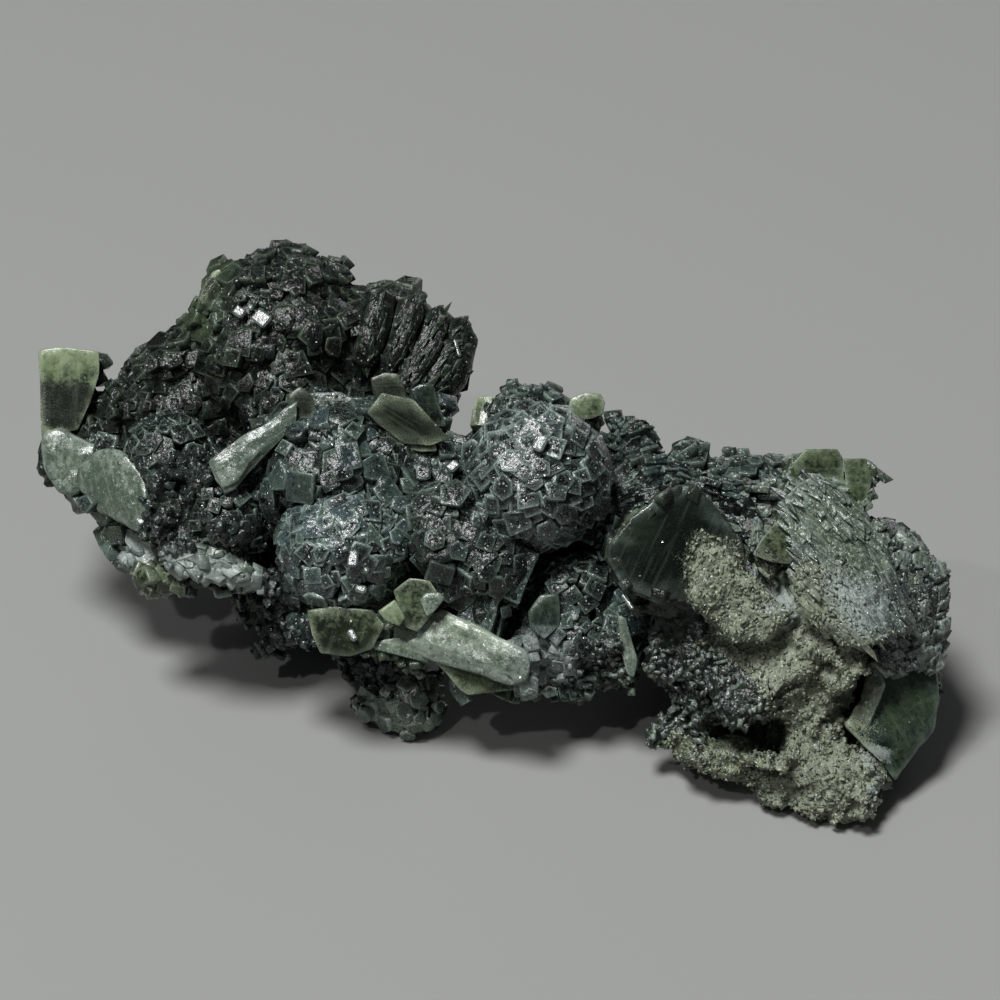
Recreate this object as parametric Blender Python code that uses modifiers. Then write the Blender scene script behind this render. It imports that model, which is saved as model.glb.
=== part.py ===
"""A hand-sized cluster of prehnite: rounded masses of dark green tabular crystals that have
grown into one another, with rosettes, pale free-standing tablets and a granular broken end.

Run it with  blender --background --python part.py  or from Blender's text editor.
It makes one solid, because the real thing grew as one piece.

The tables are in millimetres, in the cluster's own layout frame: +X runs along it, +Y away
from its front, +Z up, and Z = 0 is the surface that it rests on.
"""

import math
import random

import bmesh
import bpy
from mathutils import Matrix, Vector, noise

MM = 0.001
NAME = "prehnite_cluster"
SEED = 11

# The layout frame's point that lies under the middle of the finished cluster.
LAYOUT_CENTRE = Vector((-1.6, 2.4, 0.0))

# The mass under the crystals: its finest detail, its roughness and how many faces it keeps.
CORE_VOXEL = 1.1
LUMP_SIZE = 4.2
LUMP_HEIGHT = 1.5
CORE_FACES = 1500

# A crystal's broad face is given as it is seen from the cluster's best side, in front and
# this far above: how much it looks to the right, upward and toward the viewer.
BEST_SIDE_ELEVATION = math.radians(35)

# Rounded masses: centre, then half-lengths along X, Y and Z.
LOBES = {
    "rear_mass": ((-24.5, 21.0, 30.5), (11.5, 10.5, 11.5)),
    "rear_mass_top": ((-26.0, 23.0, 36.0), (6.5, 6.0, 4.6)),
    "rear_mass_right": ((-14.5, 21.5, 33.6), (6.5, 7.5, 6.2)),
    "rear_shoulder": ((-37.0, 19.0, 25.5), (7.5, 8.0, 7.5)),
    "rear_shoulder_top": ((-36.0, 21.0, 30.5), (5.0, 5.5, 4.2)),
    "far_left_root": ((-43.5, 16.5, 25.0), (4.0, 4.5, 5.0)),
    "rear_column": ((-8.0, 20.5, 31.6), (4.4, 5.5, 6.5)),
    "rear_column_foot": ((-11.5, 17.0, 25.0), (6.0, 6.5, 8.0)),
    "rear_low": ((-26.0, 17.0, 16.0), (11.0, 9.0, 11.0)),
    "rear_foot": ((-19.0, 15.5, 5.0), (7.5, 7.0, 7.5)),
    "left_body": ((-33.0, 3.5, 21.5), (8.0, 8.5, 6.5)),
    "left_knob": ((-43.6, 8.6, 16.6), (3.0, 3.0, 2.6)),
    "left_root": ((-42.0, 13.0, 19.0), (6.0, 6.5, 5.0)),
    "crown": ((-16.5, 4.5, 25.0), (12.5, 9.5, 8.0)),
    "centre": ((-4.0, 0.5, 21.0), (10.5, 8.5, 8.5)),
    "saddle": ((-4.5, 3.8, 27.0), (5.0, 5.0, 3.5)),
    "front_shelf": ((-13.0, -7.5, 15.5), (8.5, 4.5, 4.5)),
    "left_rose_root": ((-17.2, -4.0, 22.3), (5.5, 5.0, 5.5)),
    "centre_rose_root": ((4.0, 0.5, 28.5), (5.8, 5.5, 6.2)),
    "summit": ((3.5, 6.6, 30.8), (5.0, 4.5, 4.0)),
    "spine": ((5.0, 5.0, 17.0), (13.0, 8.5, 9.0)),
    "low_front": ((8.0, -7.4, 12.4), (8.5, 6.0, 7.5)),
    "wall": ((16.0, 4.0, 21.0), (8.5, 9.0, 7.0)),
    "rear_ridge": ((28.0, 14.5, 15.5), (10.5, 7.0, 5.5)),
    "rear_knob": ((16.0, 12.5, 22.5), (3.4, 3.2, 3.6)),
    "rear_right_foot": ((27.0, 9.0, 6.0), (8.5, 7.5, 7.5)),
    "right_spine": ((27.0, 0.5, 18.0), (12.0, 8.5, 8.5)),
    "flank": ((43.4, -3.4, 17.0), (5.0, 7.5, 7.0)),
    "crust": ((32.0, -13.5, 16.0), (8.5, 5.5, 8.0)),
    "crust_low": ((32.0, -15.5, 8.0), (7.5, 6.0, 6.0)),
    "crust_left": ((19.8, -13.6, 14.0), (4.0, 3.8, 4.0)),
    "crust_ledge": ((25.0, -17.6, 5.6), (5.6, 4.6, 4.2)),
    "crust_ledge_end": ((22.8, -15.2, 9.8), (3.4, 3.4, 3.0)),
    "crust_sole": ((31.5, -20.6, 3.0), (5.0, 4.6, 3.6)),
    "crust_toe": ((38.0, -22.2, 3.4), (5.0, 6.2, 4.8)),
    "crust_knob": ((26.5, -19.0, 15.6), (4.3, 3.2, 2.6)),
    "under_body": ((-12.0, 0.0, 8.5), (8.5, 7.0, 7.5)),
    "under_left": ((-24.0, 3.0, 10.5), (6.5, 6.0, 5.5)),
    "floor_knob": ((-10.3, -7.2, 2.4), (5.4, 3.4, 2.8)),
}

# Broken, angular masses: centre, full size, the way the broad face looks, the long axis.
SLABS = {
    "dome": ((18.8, -12.0, 26.2), (13.5, 13.0, 9.0), (-0.2, 0.3, 1.0), (0.5, 1.0, 0.0)),
    "grey_block": ((36.5, -8.5, 24.5), (18.5, 12.0, 10.0), (-0.1, 0.2, 1.0), (-0.45, 1.0, 0.0)),
    "frosted_books": ((9.5, -9.5, 13.5), (9.0, 8.5, 7.0), (0.1, 0.1, 1.0), (0.2, 1.0, 0.0)),
    "wall_slab": ((17.0, -1.0, 22.5), (14.0, 9.0, 6.0), (0.3, 0.6, 1.0), (1.0, 0.5, 0.0)),
}

# Rosettes: centre, radius, the way the middle looks, spread in degrees, plates, plate size.
ROSES = {
    "left_rose": ((-17.2, -4.4, 22.6), 7.0, (0.05, 0.15, 1.0), 100, 30, 4.2),
    "centre_rose": ((4.2, -0.2, 29.0), 7.4, (-0.05, 0.25, 1.0), 105, 32, 4.8),
    "summit_rose": ((3.4, 6.2, 32.0), 4.2, (-0.2, 1.0, 0.3), 80, 7, 3.8),
    "crown_rose": ((-19.0, 3.0, 27.0), 8.5, (-0.2, 0.7, 0.7), 65, 11, 5.6),
    "middle_rose": ((-5.5, -3.0, 22.0), 7.0, (-0.1, 0.0, 1.0), 75, 10, 5.6),
    "left_crust": ((-33.0, 2.0, 21.5), 8.0, (-0.1, 0.3, 0.9), 80, 9, 5.0),
    "rear_crest": ((-26.0, 22.5, 34.0), 9.5, (0.0, 1.0, 0.4), 85, 14, 5.2),
    "rear_face": ((-24.0, 15.5, 27.5), 8.5, (0.0, 0.2, 1.0), 70, 8, 5.4),
}

# Free-standing crystals: centre, full size, the way the broad face looks, the long axis,
# sides of the outline, and the width of the far end against the near end.
TABLETS = {
    "far_left_tablet": ((-50.0, 17.2, 24.8), (16.2, 6.4, 4.2), (-0.3, 0.1, 1.0), (0.03, 1.0, 0.0), 4, 1.05),
    "pale_fan": ((-44.3, 10.5, 19.3), (11.0, 7.4, 5.0), (-0.3, 0.4, 1.0), (-0.45, 1.0, 0.0), 6, 2.0),
    "pale_fan_tip": ((-41.0, 5.6, 15.4), (6.0, 2.8, 2.8), (-0.2, 0.3, 1.0), (-0.6, 1.0, 0.0), 4, 1.2),
    "rear_green_edge": ((-33.5, 22.5, 38.0), (6.5, 3.2, 3.0), (-0.7, 0.3, 0.6), (0.5, 1.0, 0.0), 4, 1.1),
    "green_ramp": ((-26.5, 5.6, 27.0), (13.5, 4.0, 3.4), (-0.6, 0.7, 0.7), (0.72, 0.7, 0.0), 4, 0.9),
    "small_cube": ((-21.8, 6.8, 31.4), (3.6, 3.4, 3.6), (0.2, 0.5, 1.0), (0.3, 1.0, 0.0), 4, 0.95),
    "crown_tablet_a": ((-13.0, 8.0, 33.0), (4.2, 3.2, 2.8), (-0.2, 0.4, 1.0), (-0.2, 1.0, 0.0), 4, 0.9),
    "crown_tablet_b": ((-11.0, 5.4, 31.0), (8.8, 5.6, 2.6), (0.3, 0.7, 0.9), (0.9, -0.45, 0.0), 6, 0.95),
    "crown_tablet_c": ((-8.0, 8.0, 31.6), (5.6, 3.6, 2.0), (-0.5, 0.1, 1.0), (0.1, 1.0, 0.0), 4, 0.85),
    "crown_plate": ((-17.5, 6.5, 31.2), (8.0, 5.5, 2.2), (0.1, 1.0, 0.4), (1.0, 0.0, 0.0), 6, 0.9),
    "summit_block": ((9.0, 5.8, 32.2), (4.8, 3.6, 3.4), (0.1, 0.3, 1.0), (1.0, 0.12, 0.0), 4, 0.9),
    "summit_tooth": ((-1.6, 9.0, 31.0), (4.0, 3.0, 2.6), (0.0, 0.5, 1.0), (0.1, 1.0, 0.0), 4, 0.8),
    "mint_ledge": ((-2.8, -12.2, 13.6), (15.5, 5.2, 3.6), (-0.1, 0.4, 0.9), (0.94, -0.34, 0.1), 4, 1.15),
    "front_plate_a": ((-16.5, -11.0, 15.6), (8.6, 4.6, 2.6), (-0.2, 0.3, 1.0), (0.93, -0.3, 0.0), 6, 0.9),
    "front_plate_b": ((-11.5, -12.2, 13.6), (7.0, 3.6, 2.2), (0.1, -0.3, 1.0), (0.9, -0.3, 0.0), 4, 0.9),
    "front_tip": ((-3.6, -11.8, 10.4), (5.4, 4.4, 2.4), (0.0, 0.0, 1.0), (0.0, -1.0, 0.0), 6, 0.4),
    "front_cubes": ((-8.6, -9.6, 16.4), (4.6, 4.0, 3.4), (0.2, 0.2, 1.0), (0.6, 1.0, 0.0), 4, 0.9),
    "left_vein": ((-31.0, -3.6, 17.6), (11.5, 3.8, 3.0), (-0.1, 0.3, 1.0), (1.0, -0.18, 0.0), 4, 0.8),
    "left_green_knob": ((-38.2, -1.0, 16.0), (4.6, 4.0, 3.6), (-0.2, 0.1, 1.0), (1.0, -0.1, 0.0), 6, 1.0),
    "dark_book_a": ((-1.8, -9.4, 17.6), (7.2, 5.0, 3.4), (-0.4, 0.1, 0.9), (0.35, 1.0, 0.0), 4, 0.9),
    "dark_book_b": ((1.0, -8.0, 21.5), (6.6, 5.0, 3.2), (0.1, 0.1, 1.0), (0.5, 1.0, 0.0), 4, 0.9),
    "dark_book_c": ((-8.5, -4.5, 26.0), (7.0, 5.0, 3.4), (0.2, 0.2, 1.0), (0.8, 1.0, 0.0), 4, 0.85),
    "pale_blade": ((13.8, -11.8, 11.6), (6.6, 2.0, 3.0), (-0.1, 0.2, 1.0), (-0.15, 1.0, 0.0), 4, 0.8),
    "green_triangle": ((29.6, -11.6, 26.4), (5.8, 5.2, 3.4), (-0.1, 0.3, 1.0), (-0.2, -1.0, 0.0), 6, 0.5),
    "green_block_a": ((34.6, 1.5, 28.0), (6.4, 4.4, 4.4), (0.0, 0.6, 0.8), (1.0, -0.1, 0.0), 4, 0.9),
    "green_block_b": ((39.4, 0.4, 27.0), (4.6, 4.2, 4.4), (0.3, 0.4, 0.9), (0.2, 1.0, 0.0), 4, 0.9),
    "glassy_fan": ((43.4, -14.2, 6.6), (13.0, 8.6, 6.0), (0.35, -0.1, 1.0), (0.35, 1.0, 0.0), 4, 1.35),
    "glassy_fan_fin": ((45.4, -9.4, 9.4), (10.0, 6.0, 5.0), (0.5, 0.1, 0.9), (0.5, 1.0, 0.0), 4, 1.2),
    "block_corner": ((45.0, -10.8, 20.0), (9.0, 5.0, 4.6), (0.3, 0.1, 1.0), (0.75, -0.7, 0.0), 4, 0.7),
}

# Loose plates over the rest of the mass: spacing, width and thickness.
SCATTER_SPACING = 10.5
SCATTER_WIDTH = (4.0, 7.0)
SCATTER_THICKNESS = (1.4, 2.4)
SCATTER_LEAN = 0.75

# The tops of the four lumps that it stands on are cut flat where they meet the surface.
GROUND_SIZE = 160.0


def clear_scene():
    for obj in list(bpy.data.objects):
        bpy.data.objects.remove(obj)


def make_collection(name):
    collection = bpy.data.collections.new(name)
    bpy.context.scene.collection.children.link(collection)
    return collection


def make_object(name, bm, collection):
    """An object that holds this bmesh, scaled from layout millimetres to metres."""
    bmesh.ops.scale(bm, vec=(MM, MM, MM), verts=bm.verts)
    mesh = bpy.data.meshes.new(name)
    bm.to_mesh(mesh)
    bm.free()
    obj = bpy.data.objects.new(name, mesh)
    collection.objects.link(obj)
    return obj


def best_side(right, up, toward):
    """The unit vector of a direction given as it is seen from the best side."""
    sine = math.sin(BEST_SIDE_ELEVATION)
    cosine = math.cos(BEST_SIDE_ELEVATION)
    seen = Vector((right, up * sine - toward * cosine, up * cosine + toward * sine))
    return seen.normalized()


def frame_of(centre, face, along):
    """The matrix that sets a shape's X along `along`, its Z along `face`, at `centre`."""
    along = (along - face * along.dot(face)).normalized()
    across = face.cross(along)
    turn = Matrix((along, across, face)).transposed().to_4x4()
    return Matrix.Translation(centre) @ turn


def add_lobe(bm, centre, half_lengths):
    place = Matrix.Translation(centre) @ Matrix.Diagonal((*half_lengths, 1.0))
    bmesh.ops.create_icosphere(bm, subdivisions=3, radius=1.0, matrix=place)


def add_crystal(bm, centre, size, face, along, sides=4, far_end=1.0):
    """A tabular crystal: a flat prism with four or six sides, bevelled toward its top face.

    `far_end` widens or narrows the end that `along` points to.
    """
    made = bmesh.ops.create_cone(
        bm, cap_ends=True, segments=sides, radius1=1.0, radius2=0.84, depth=1.0,
        matrix=Matrix.Rotation(math.pi / sides, 4, "Z"),
    )
    reach = math.cos(math.pi / sides)
    for vert in made["verts"]:
        widen = 1.0 + (far_end - 1.0) * vert.co.x
        vert.co.y *= max(widen, 0.2)
    half = Matrix.Diagonal((size[0] / 2 / reach, size[1] / 2 / reach, size[2], 1.0))
    bmesh.ops.transform(bm, matrix=frame_of(centre, face, along) @ half, verts=made["verts"])


def core_bmesh():
    bm = bmesh.new()
    for centre, half_lengths in LOBES.values():
        add_lobe(bm, Vector(centre), half_lengths)
    for centre, size, face, along in SLABS.values():
        add_crystal(bm, Vector(centre), size, best_side(*face), best_side(*along), sides=6)
    return bm


def roughen(bm):
    """Pushes the surface in and out in lumps, as grains and broken ends would leave it."""
    for vert in bm.verts:
        spot = vert.co / (LUMP_SIZE * MM)
        height = noise.fractal(spot, 0.8, 2.0, 3) * LUMP_HEIGHT * MM
        vert.co += vert.normal * height


def evaluated_mesh(obj, name):
    graph = bpy.context.evaluated_depsgraph_get()
    return bpy.data.meshes.new_from_object(obj.evaluated_get(graph), depsgraph=graph)


def make_core(collection):
    """The mass under the crystals: lobes fused by a voxel remesh, then roughened."""
    core = make_object("core", core_bmesh(), collection)
    fuse = core.modifiers.new("fuse lobes", "REMESH")
    fuse.mode = "VOXEL"
    fuse.voxel_size = CORE_VOXEL * MM
    bpy.context.view_layer.update()
    fused = evaluated_mesh(core, "fused")
    core.modifiers.clear()
    bm = bmesh.new()
    bm.from_mesh(fused)
    bm.normal_update()
    roughen(bm)
    bm.to_mesh(core.data)
    bm.free()
    thin = core.modifiers.new("keep broad facets", "DECIMATE")
    thin.ratio = min(1.0, CORE_FACES / (2.0 * len(core.data.polygons)))
    bpy.context.view_layer.update()
    core.data = evaluated_mesh(core, "core")
    core.modifiers.clear()
    return core


def shell_point(axis, angle, turn):
    """A unit vector at this angle from `axis`, turned round it."""
    side = axis.orthogonal().normalized()
    other = axis.cross(side)
    return axis * math.cos(angle) + (side * math.cos(turn) + other * math.sin(turn)) * math.sin(angle)


def rose_plates(centre, radius, axis, spread, count, width, rng):
    """Shingled plates over a ball: each leans back, so its outer edge stands proud."""
    golden = math.pi * (3.0 - math.sqrt(5.0))
    for index in range(count):
        share = (index + 0.5) / count
        angle = math.acos(1.0 - share * (1.0 - math.cos(math.radians(spread))))
        out = shell_point(axis, angle, index * golden + rng.uniform(-0.15, 0.15))
        downhill = (out * math.cos(angle) - axis) / max(math.sin(angle), 0.01)
        lean = math.radians(rng.uniform(8, 24)) * min(1.0, angle)
        face = (out * math.cos(lean) - downhill * math.sin(lean)).normalized()
        size = (width * rng.uniform(0.85, 1.15), width * rng.uniform(0.85, 1.2), rng.uniform(1.5, 2.1))
        along = downhill + face.orthogonal().normalized() * rng.uniform(-0.3, 0.3)
        yield centre + out * (radius - 0.6), size, face, along, rng.choice((4, 6))


def add_roses(bag, rng):
    for centre, radius, axis, spread, count, width in ROSES.values():
        plates = rose_plates(Vector(centre), radius, best_side(*axis), spread, count, width, rng)
        for place, size, face, along, sides in plates:
            bm = bmesh.new()
            add_crystal(bm, place, size, face, along, sides)
            make_object("plate", bm, bag)


def add_tablets(bag):
    for name, (centre, size, face, along, sides, far_end) in TABLETS.items():
        bm = bmesh.new()
        add_crystal(bm, Vector(centre), size, best_side(*face), best_side(*along), sides, far_end)
        make_object(name, bm, bag)


def spaced_faces(mesh, spacing, rng):
    """Faces of the mesh in a random order, none nearer to another than the spacing."""
    faces = list(mesh.polygons)
    rng.shuffle(faces)
    kept = []
    for face in faces:
        if all((face.center - other.center).length > spacing for other in kept):
            kept.append(face)
    return kept


def add_scatter(core, bag, rng):
    """Plates all over the mass, each leaning its own way out of the surface."""
    for face in spaced_faces(core.data, SCATTER_SPACING * MM, rng):
        lean = Vector((rng.gauss(0, 1), rng.gauss(0, 1), rng.gauss(0, 1)))
        out = (face.normal + lean.normalized() * SCATTER_LEAN).normalized()
        width = rng.uniform(*SCATTER_WIDTH)
        size = (width, width * rng.uniform(0.7, 1.1), rng.uniform(*SCATTER_THICKNESS))
        bm = bmesh.new()
        add_crystal(bm, face.center / MM + face.normal * 0.3, size, out, out.orthogonal(), rng.choice((4, 6)))
        make_object("scattered plate", bm, bag)


def make_ground(bag):
    bm = bmesh.new()
    deep = Matrix.Diagonal((GROUND_SIZE, GROUND_SIZE, 40.0, 1.0))
    bmesh.ops.create_cube(bm, size=1.0, matrix=Matrix.Translation((0, 0, -20.0)) @ deep)
    return make_object("ground", bm, bag)


def hide_cutters(collection):
    collection.hide_render = True
    for obj in collection.objects:
        obj.hide_render = True
        obj.display_type = "WIRE"


def keep_outer_skin(bm):
    """Drops any closed pocket left inside the solid, and any crumb that broke free."""
    unseen = set(bm.faces)
    shells = []
    while unseen:
        shell, edge = set(), {unseen.pop()}
        while edge:
            face = edge.pop()
            shell.add(face)
            near = {other for side in face.edges if len(side.link_faces) == 2 for other in side.link_faces}
            edge |= near & unseen
            unseen -= near
        shells.append(shell)
    shells.sort(key=len)
    crumbs = [face for shell in shells[:-1] for face in shell]
    bmesh.ops.delete(bm, geom=crumbs, context="FACES")


def fuse_crystals(core, crystals, ground):
    """One closed solid: the core and every crystal joined, then cut flat underneath."""
    join = core.modifiers.new("join crystals", "BOOLEAN")
    join.operation = "UNION"
    join.operand_type = "COLLECTION"
    join.collection = crystals
    join.solver = "EXACT"
    flat = core.modifiers.new("cut flat underneath", "BOOLEAN")
    flat.operation = "DIFFERENCE"
    flat.object = ground
    flat.solver = "EXACT"
    bpy.context.view_layer.update()
    fused = evaluated_mesh(core, NAME)
    core.modifiers.clear()
    bm = bmesh.new()
    bm.from_mesh(fused)
    bmesh.ops.triangulate(bm, faces=bm.faces)
    keep_outer_skin(bm)
    bmesh.ops.translate(bm, vec=-LAYOUT_CENTRE * MM, verts=bm.verts)
    bm.normal_update()
    bm.to_mesh(core.data)
    bm.free()
    core.data.name = NAME


def make_prehnite():
    """Dark green prehnite: a vitreous, slightly translucent calcium aluminium silicate."""
    material = bpy.data.materials.new("dark green prehnite")
    material.use_nodes = True
    surface = material.node_tree.nodes["Principled BSDF"]
    surface.inputs["Base Color"].default_value = (0.045, 0.062, 0.050, 1.0)
    surface.inputs["Roughness"].default_value = 0.35
    surface.inputs["Metallic"].default_value = 0.0
    surface.inputs["IOR"].default_value = 1.63
    return material


def build():
    clear_scene()
    rng = random.Random(SEED)
    whole = make_collection(NAME)
    crystals = make_collection("crystals to join")
    helpers = make_collection("cutters")
    core = make_core(whole)
    add_roses(crystals, rng)
    add_tablets(crystals)
    add_scatter(core, crystals, rng)
    ground = make_ground(helpers)
    fuse_crystals(core, crystals, ground)
    hide_cutters(crystals)
    hide_cutters(helpers)
    core.name = NAME
    core.data.materials.append(make_prehnite())
    print(len(core.data.polygons), "triangles;", len(crystals.objects), "crystals")


build()
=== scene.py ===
# %% [markdown]
# # A cluster of prehnite, built as a lesson
#
# Prehnite is a glassy green silicate that grows as thin square tablets. In this specimen
# thousands of them have grown into one another: rounded masses covered in tiles, two
# rosettes like opening roses, a few free tablets of a paler green, and at one end the
# granular crust that the crystals grew on.
#
# The solids are already made at real size. This script leaves them where they are and
# gives them their looks: fine crystals all over the surface, and materials for each kind.

import math
import random
from functools import partial

import bmesh
import bpy
import numpy as np
from mathutils import Matrix, Vector, noise
from mathutils.kdtree import KDTree


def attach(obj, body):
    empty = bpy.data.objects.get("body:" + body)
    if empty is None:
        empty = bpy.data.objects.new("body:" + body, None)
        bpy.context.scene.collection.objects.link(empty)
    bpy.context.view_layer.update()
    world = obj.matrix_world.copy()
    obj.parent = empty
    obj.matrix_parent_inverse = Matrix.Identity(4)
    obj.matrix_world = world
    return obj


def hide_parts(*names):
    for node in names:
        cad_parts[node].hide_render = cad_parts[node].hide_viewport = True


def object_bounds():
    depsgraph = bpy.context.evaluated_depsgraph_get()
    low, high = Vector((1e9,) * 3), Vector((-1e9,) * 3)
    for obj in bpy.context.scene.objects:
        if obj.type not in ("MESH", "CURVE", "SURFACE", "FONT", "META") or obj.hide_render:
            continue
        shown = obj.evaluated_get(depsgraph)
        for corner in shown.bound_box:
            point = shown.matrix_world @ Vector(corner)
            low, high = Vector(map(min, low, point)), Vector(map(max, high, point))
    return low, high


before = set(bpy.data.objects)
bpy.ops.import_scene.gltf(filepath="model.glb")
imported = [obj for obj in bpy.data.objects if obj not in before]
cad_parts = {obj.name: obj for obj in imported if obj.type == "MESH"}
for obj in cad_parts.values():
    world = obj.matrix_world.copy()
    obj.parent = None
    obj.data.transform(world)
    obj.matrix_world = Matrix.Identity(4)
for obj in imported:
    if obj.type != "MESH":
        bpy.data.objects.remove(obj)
CAD_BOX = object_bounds()
NODE = "prehnite_cluster"
print("solids from", [round(v * 1000, 1) for v in CAD_BOX[0]], "to", [round(v * 1000, 1) for v in CAD_BOX[1]])

# %% [markdown]
# ## Two frames
#
# Everything is laid out in millimetres in the cluster's own layout frame: X runs along it,
# Y away from its front and Z up from the surface it stands on. One constant shift and one
# scale turn that into the metres of the frame. Directions are easiest to give as they are
# seen from the cluster's best side: how much something looks right, up, and toward you.

# %% Layout frame
MM = 0.001
LAYOUT_CENTRE = Vector((-1.6, 2.4, 0.0))
BEST_SIDE_ELEVATION = math.radians(35)


def best_side(right, up, toward):
    """The unit vector of a direction given as it is seen from the best side."""
    sine, cosine = math.sin(BEST_SIDE_ELEVATION), math.cos(BEST_SIDE_ELEVATION)
    return Vector((right, up * sine - toward * cosine, up * cosine + toward * sine)).normalized()


def unit(vectors):
    return vectors / np.maximum(np.linalg.norm(vectors, axis=-1, keepdims=True), 1e-9)


def distances(points, centre):
    return np.linalg.norm(points - np.array(centre), axis=1)


def to_frame(points):
    """Layout millimetres to frame metres, for one vector or an array of them."""
    return (np.asarray(points, float) - np.array(LAYOUT_CENTRE)) * MM


def to_layout(points):
    return np.asarray(points, float) / MM + np.array(LAYOUT_CENTRE)


RIGHT, UP, TOWARD = best_side(1, 0, 0), best_side(0, 1, 0), best_side(0, 0, 1)
LOW, HIGH = (to_layout(corner) for corner in CAD_BOX)
print("in the layout frame", LOW.round(1), "to", HIGH.round(1))

# %% [markdown]
# ## Camera
#
# A long lens from in front and 35 degrees above, as someone would hold a camera to look
# down on a specimen on a table.

# %% Camera
LOOK_AT = Vector((0.0, -6.0, 30.0))
VIEW_DISTANCE = 420.0
VIEW_WIDTH = 109.6
SENSOR_WIDTH = 36.0


def in_scene(name, data):
    """A new object in the scene, made of this mesh, light or camera."""
    made = bpy.data.objects.new(name, data)
    bpy.context.scene.collection.objects.link(made)
    return made


camera = in_scene("camera", bpy.data.cameras.new("camera"))
camera.location = to_frame(LOOK_AT + TOWARD * VIEW_DISTANCE)
camera.rotation_euler = TOWARD.to_track_quat("Z", "Y").to_euler()
camera.data.sensor_width = SENSOR_WIDTH
camera.data.lens = SENSOR_WIDTH * VIEW_DISTANCE / VIEW_WIDTH
camera.data.clip_start = 10 * MM
bpy.context.scene.camera = camera
print("lens", round(camera.data.lens, 1), "mm")

# %% [markdown]
# ## Colours and nodes
#
# A material is a small graph of shader nodes. One helper adds a node, sets its options
# and fills or links its inputs, so that each material below reads as a short recipe. A node
# can be handed on as it is, and then its first live output is what the next one reads.

# %% Colour and node helpers


def linear(hex_colour):
    """An sRGB hex colour as the linear values that a shader works in."""
    channels = [int(hex_colour[i : i + 2], 16) / 255 for i in (1, 3, 5)]
    return (*[c / 12.92 if c <= 0.04045 else ((c + 0.055) / 1.055) ** 2.4 for c in channels], 1.0)


def add_node(tree, kind, *values, inputs=None, **settings):
    """Adds a shader node, and fills its live inputs in order, then others by name.

    Each is filled with a value, or linked if given a socket or another node.
    """
    made = tree.nodes.new("ShaderNode" + kind)
    for name, value in settings.items():
        setattr(made, name, value)
    filled = list(zip([socket for socket in made.inputs if socket.enabled], values))
    filled += [(made.inputs[name], value) for name, value in (inputs or {}).items()]
    for socket, value in filled:
        if isinstance(value, bpy.types.Node):
            value = next(output for output in value.outputs if output.enabled)
        if isinstance(value, bpy.types.NodeSocket):
            tree.links.new(value, socket)
        else:
            socket.default_value = value
    return made


def new_material(name):
    material = bpy.data.materials.new(name)
    material.use_nodes = True
    material.node_tree.nodes.clear()
    return material


print("a middle grey is", round(linear("#808080")[0], 3), "of white in linear light")

# %% [markdown]
# ## Prehnite
#
# Prehnite is a hard glassy silicate. Light goes into the dark crystals and little comes
# back, while thin edges and frosted faces scatter it and look pale. Every crystal carries
# numbers on its points: `rim` is 1 along the outline of a tablet, `tone` is its own shade,
# and `grow` is a place in millimetres on that crystal, so patterns line up with its faces.
#
# A tablet is really a book of smaller square ones. A cell pattern in `grow` draws them: each
# cell gets its own shade and its own slight turn, so each catches the light by itself.

# %% Prehnite material
PLATE_CELL = 1.15
CRUMB_CELL = 0.34
CLOUD_SIZE = 1.6
HUE_SIZE = 4.0
# Real sparks, grit and growth layers are finer: these are drawn as coarse as they need to show.
SPARK_CELL = 0.17
GRIT_SIZE = 0.16
LAYER_SPACING = 0.3
FIBRE_STRETCH = (0.1, 1.5, 1.5)
BUMP_HEIGHT = 0.1
PREHNITE_IOR = 1.63
# SPARK_HIGHLIGHT_WHITE is a painted highlight, the base colour of the spark faces.
FRESH_GREEN, FROST_GREY, CRACK_BLACK, SPARK_HIGHLIGHT_WHITE, CRUST_LOW, CRUST_HIGH = map(
    linear, ("#58694a", "#98a2a0", "#0b0f0d", "#b9c2be", "#3e4538", "#949d86")
)


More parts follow.
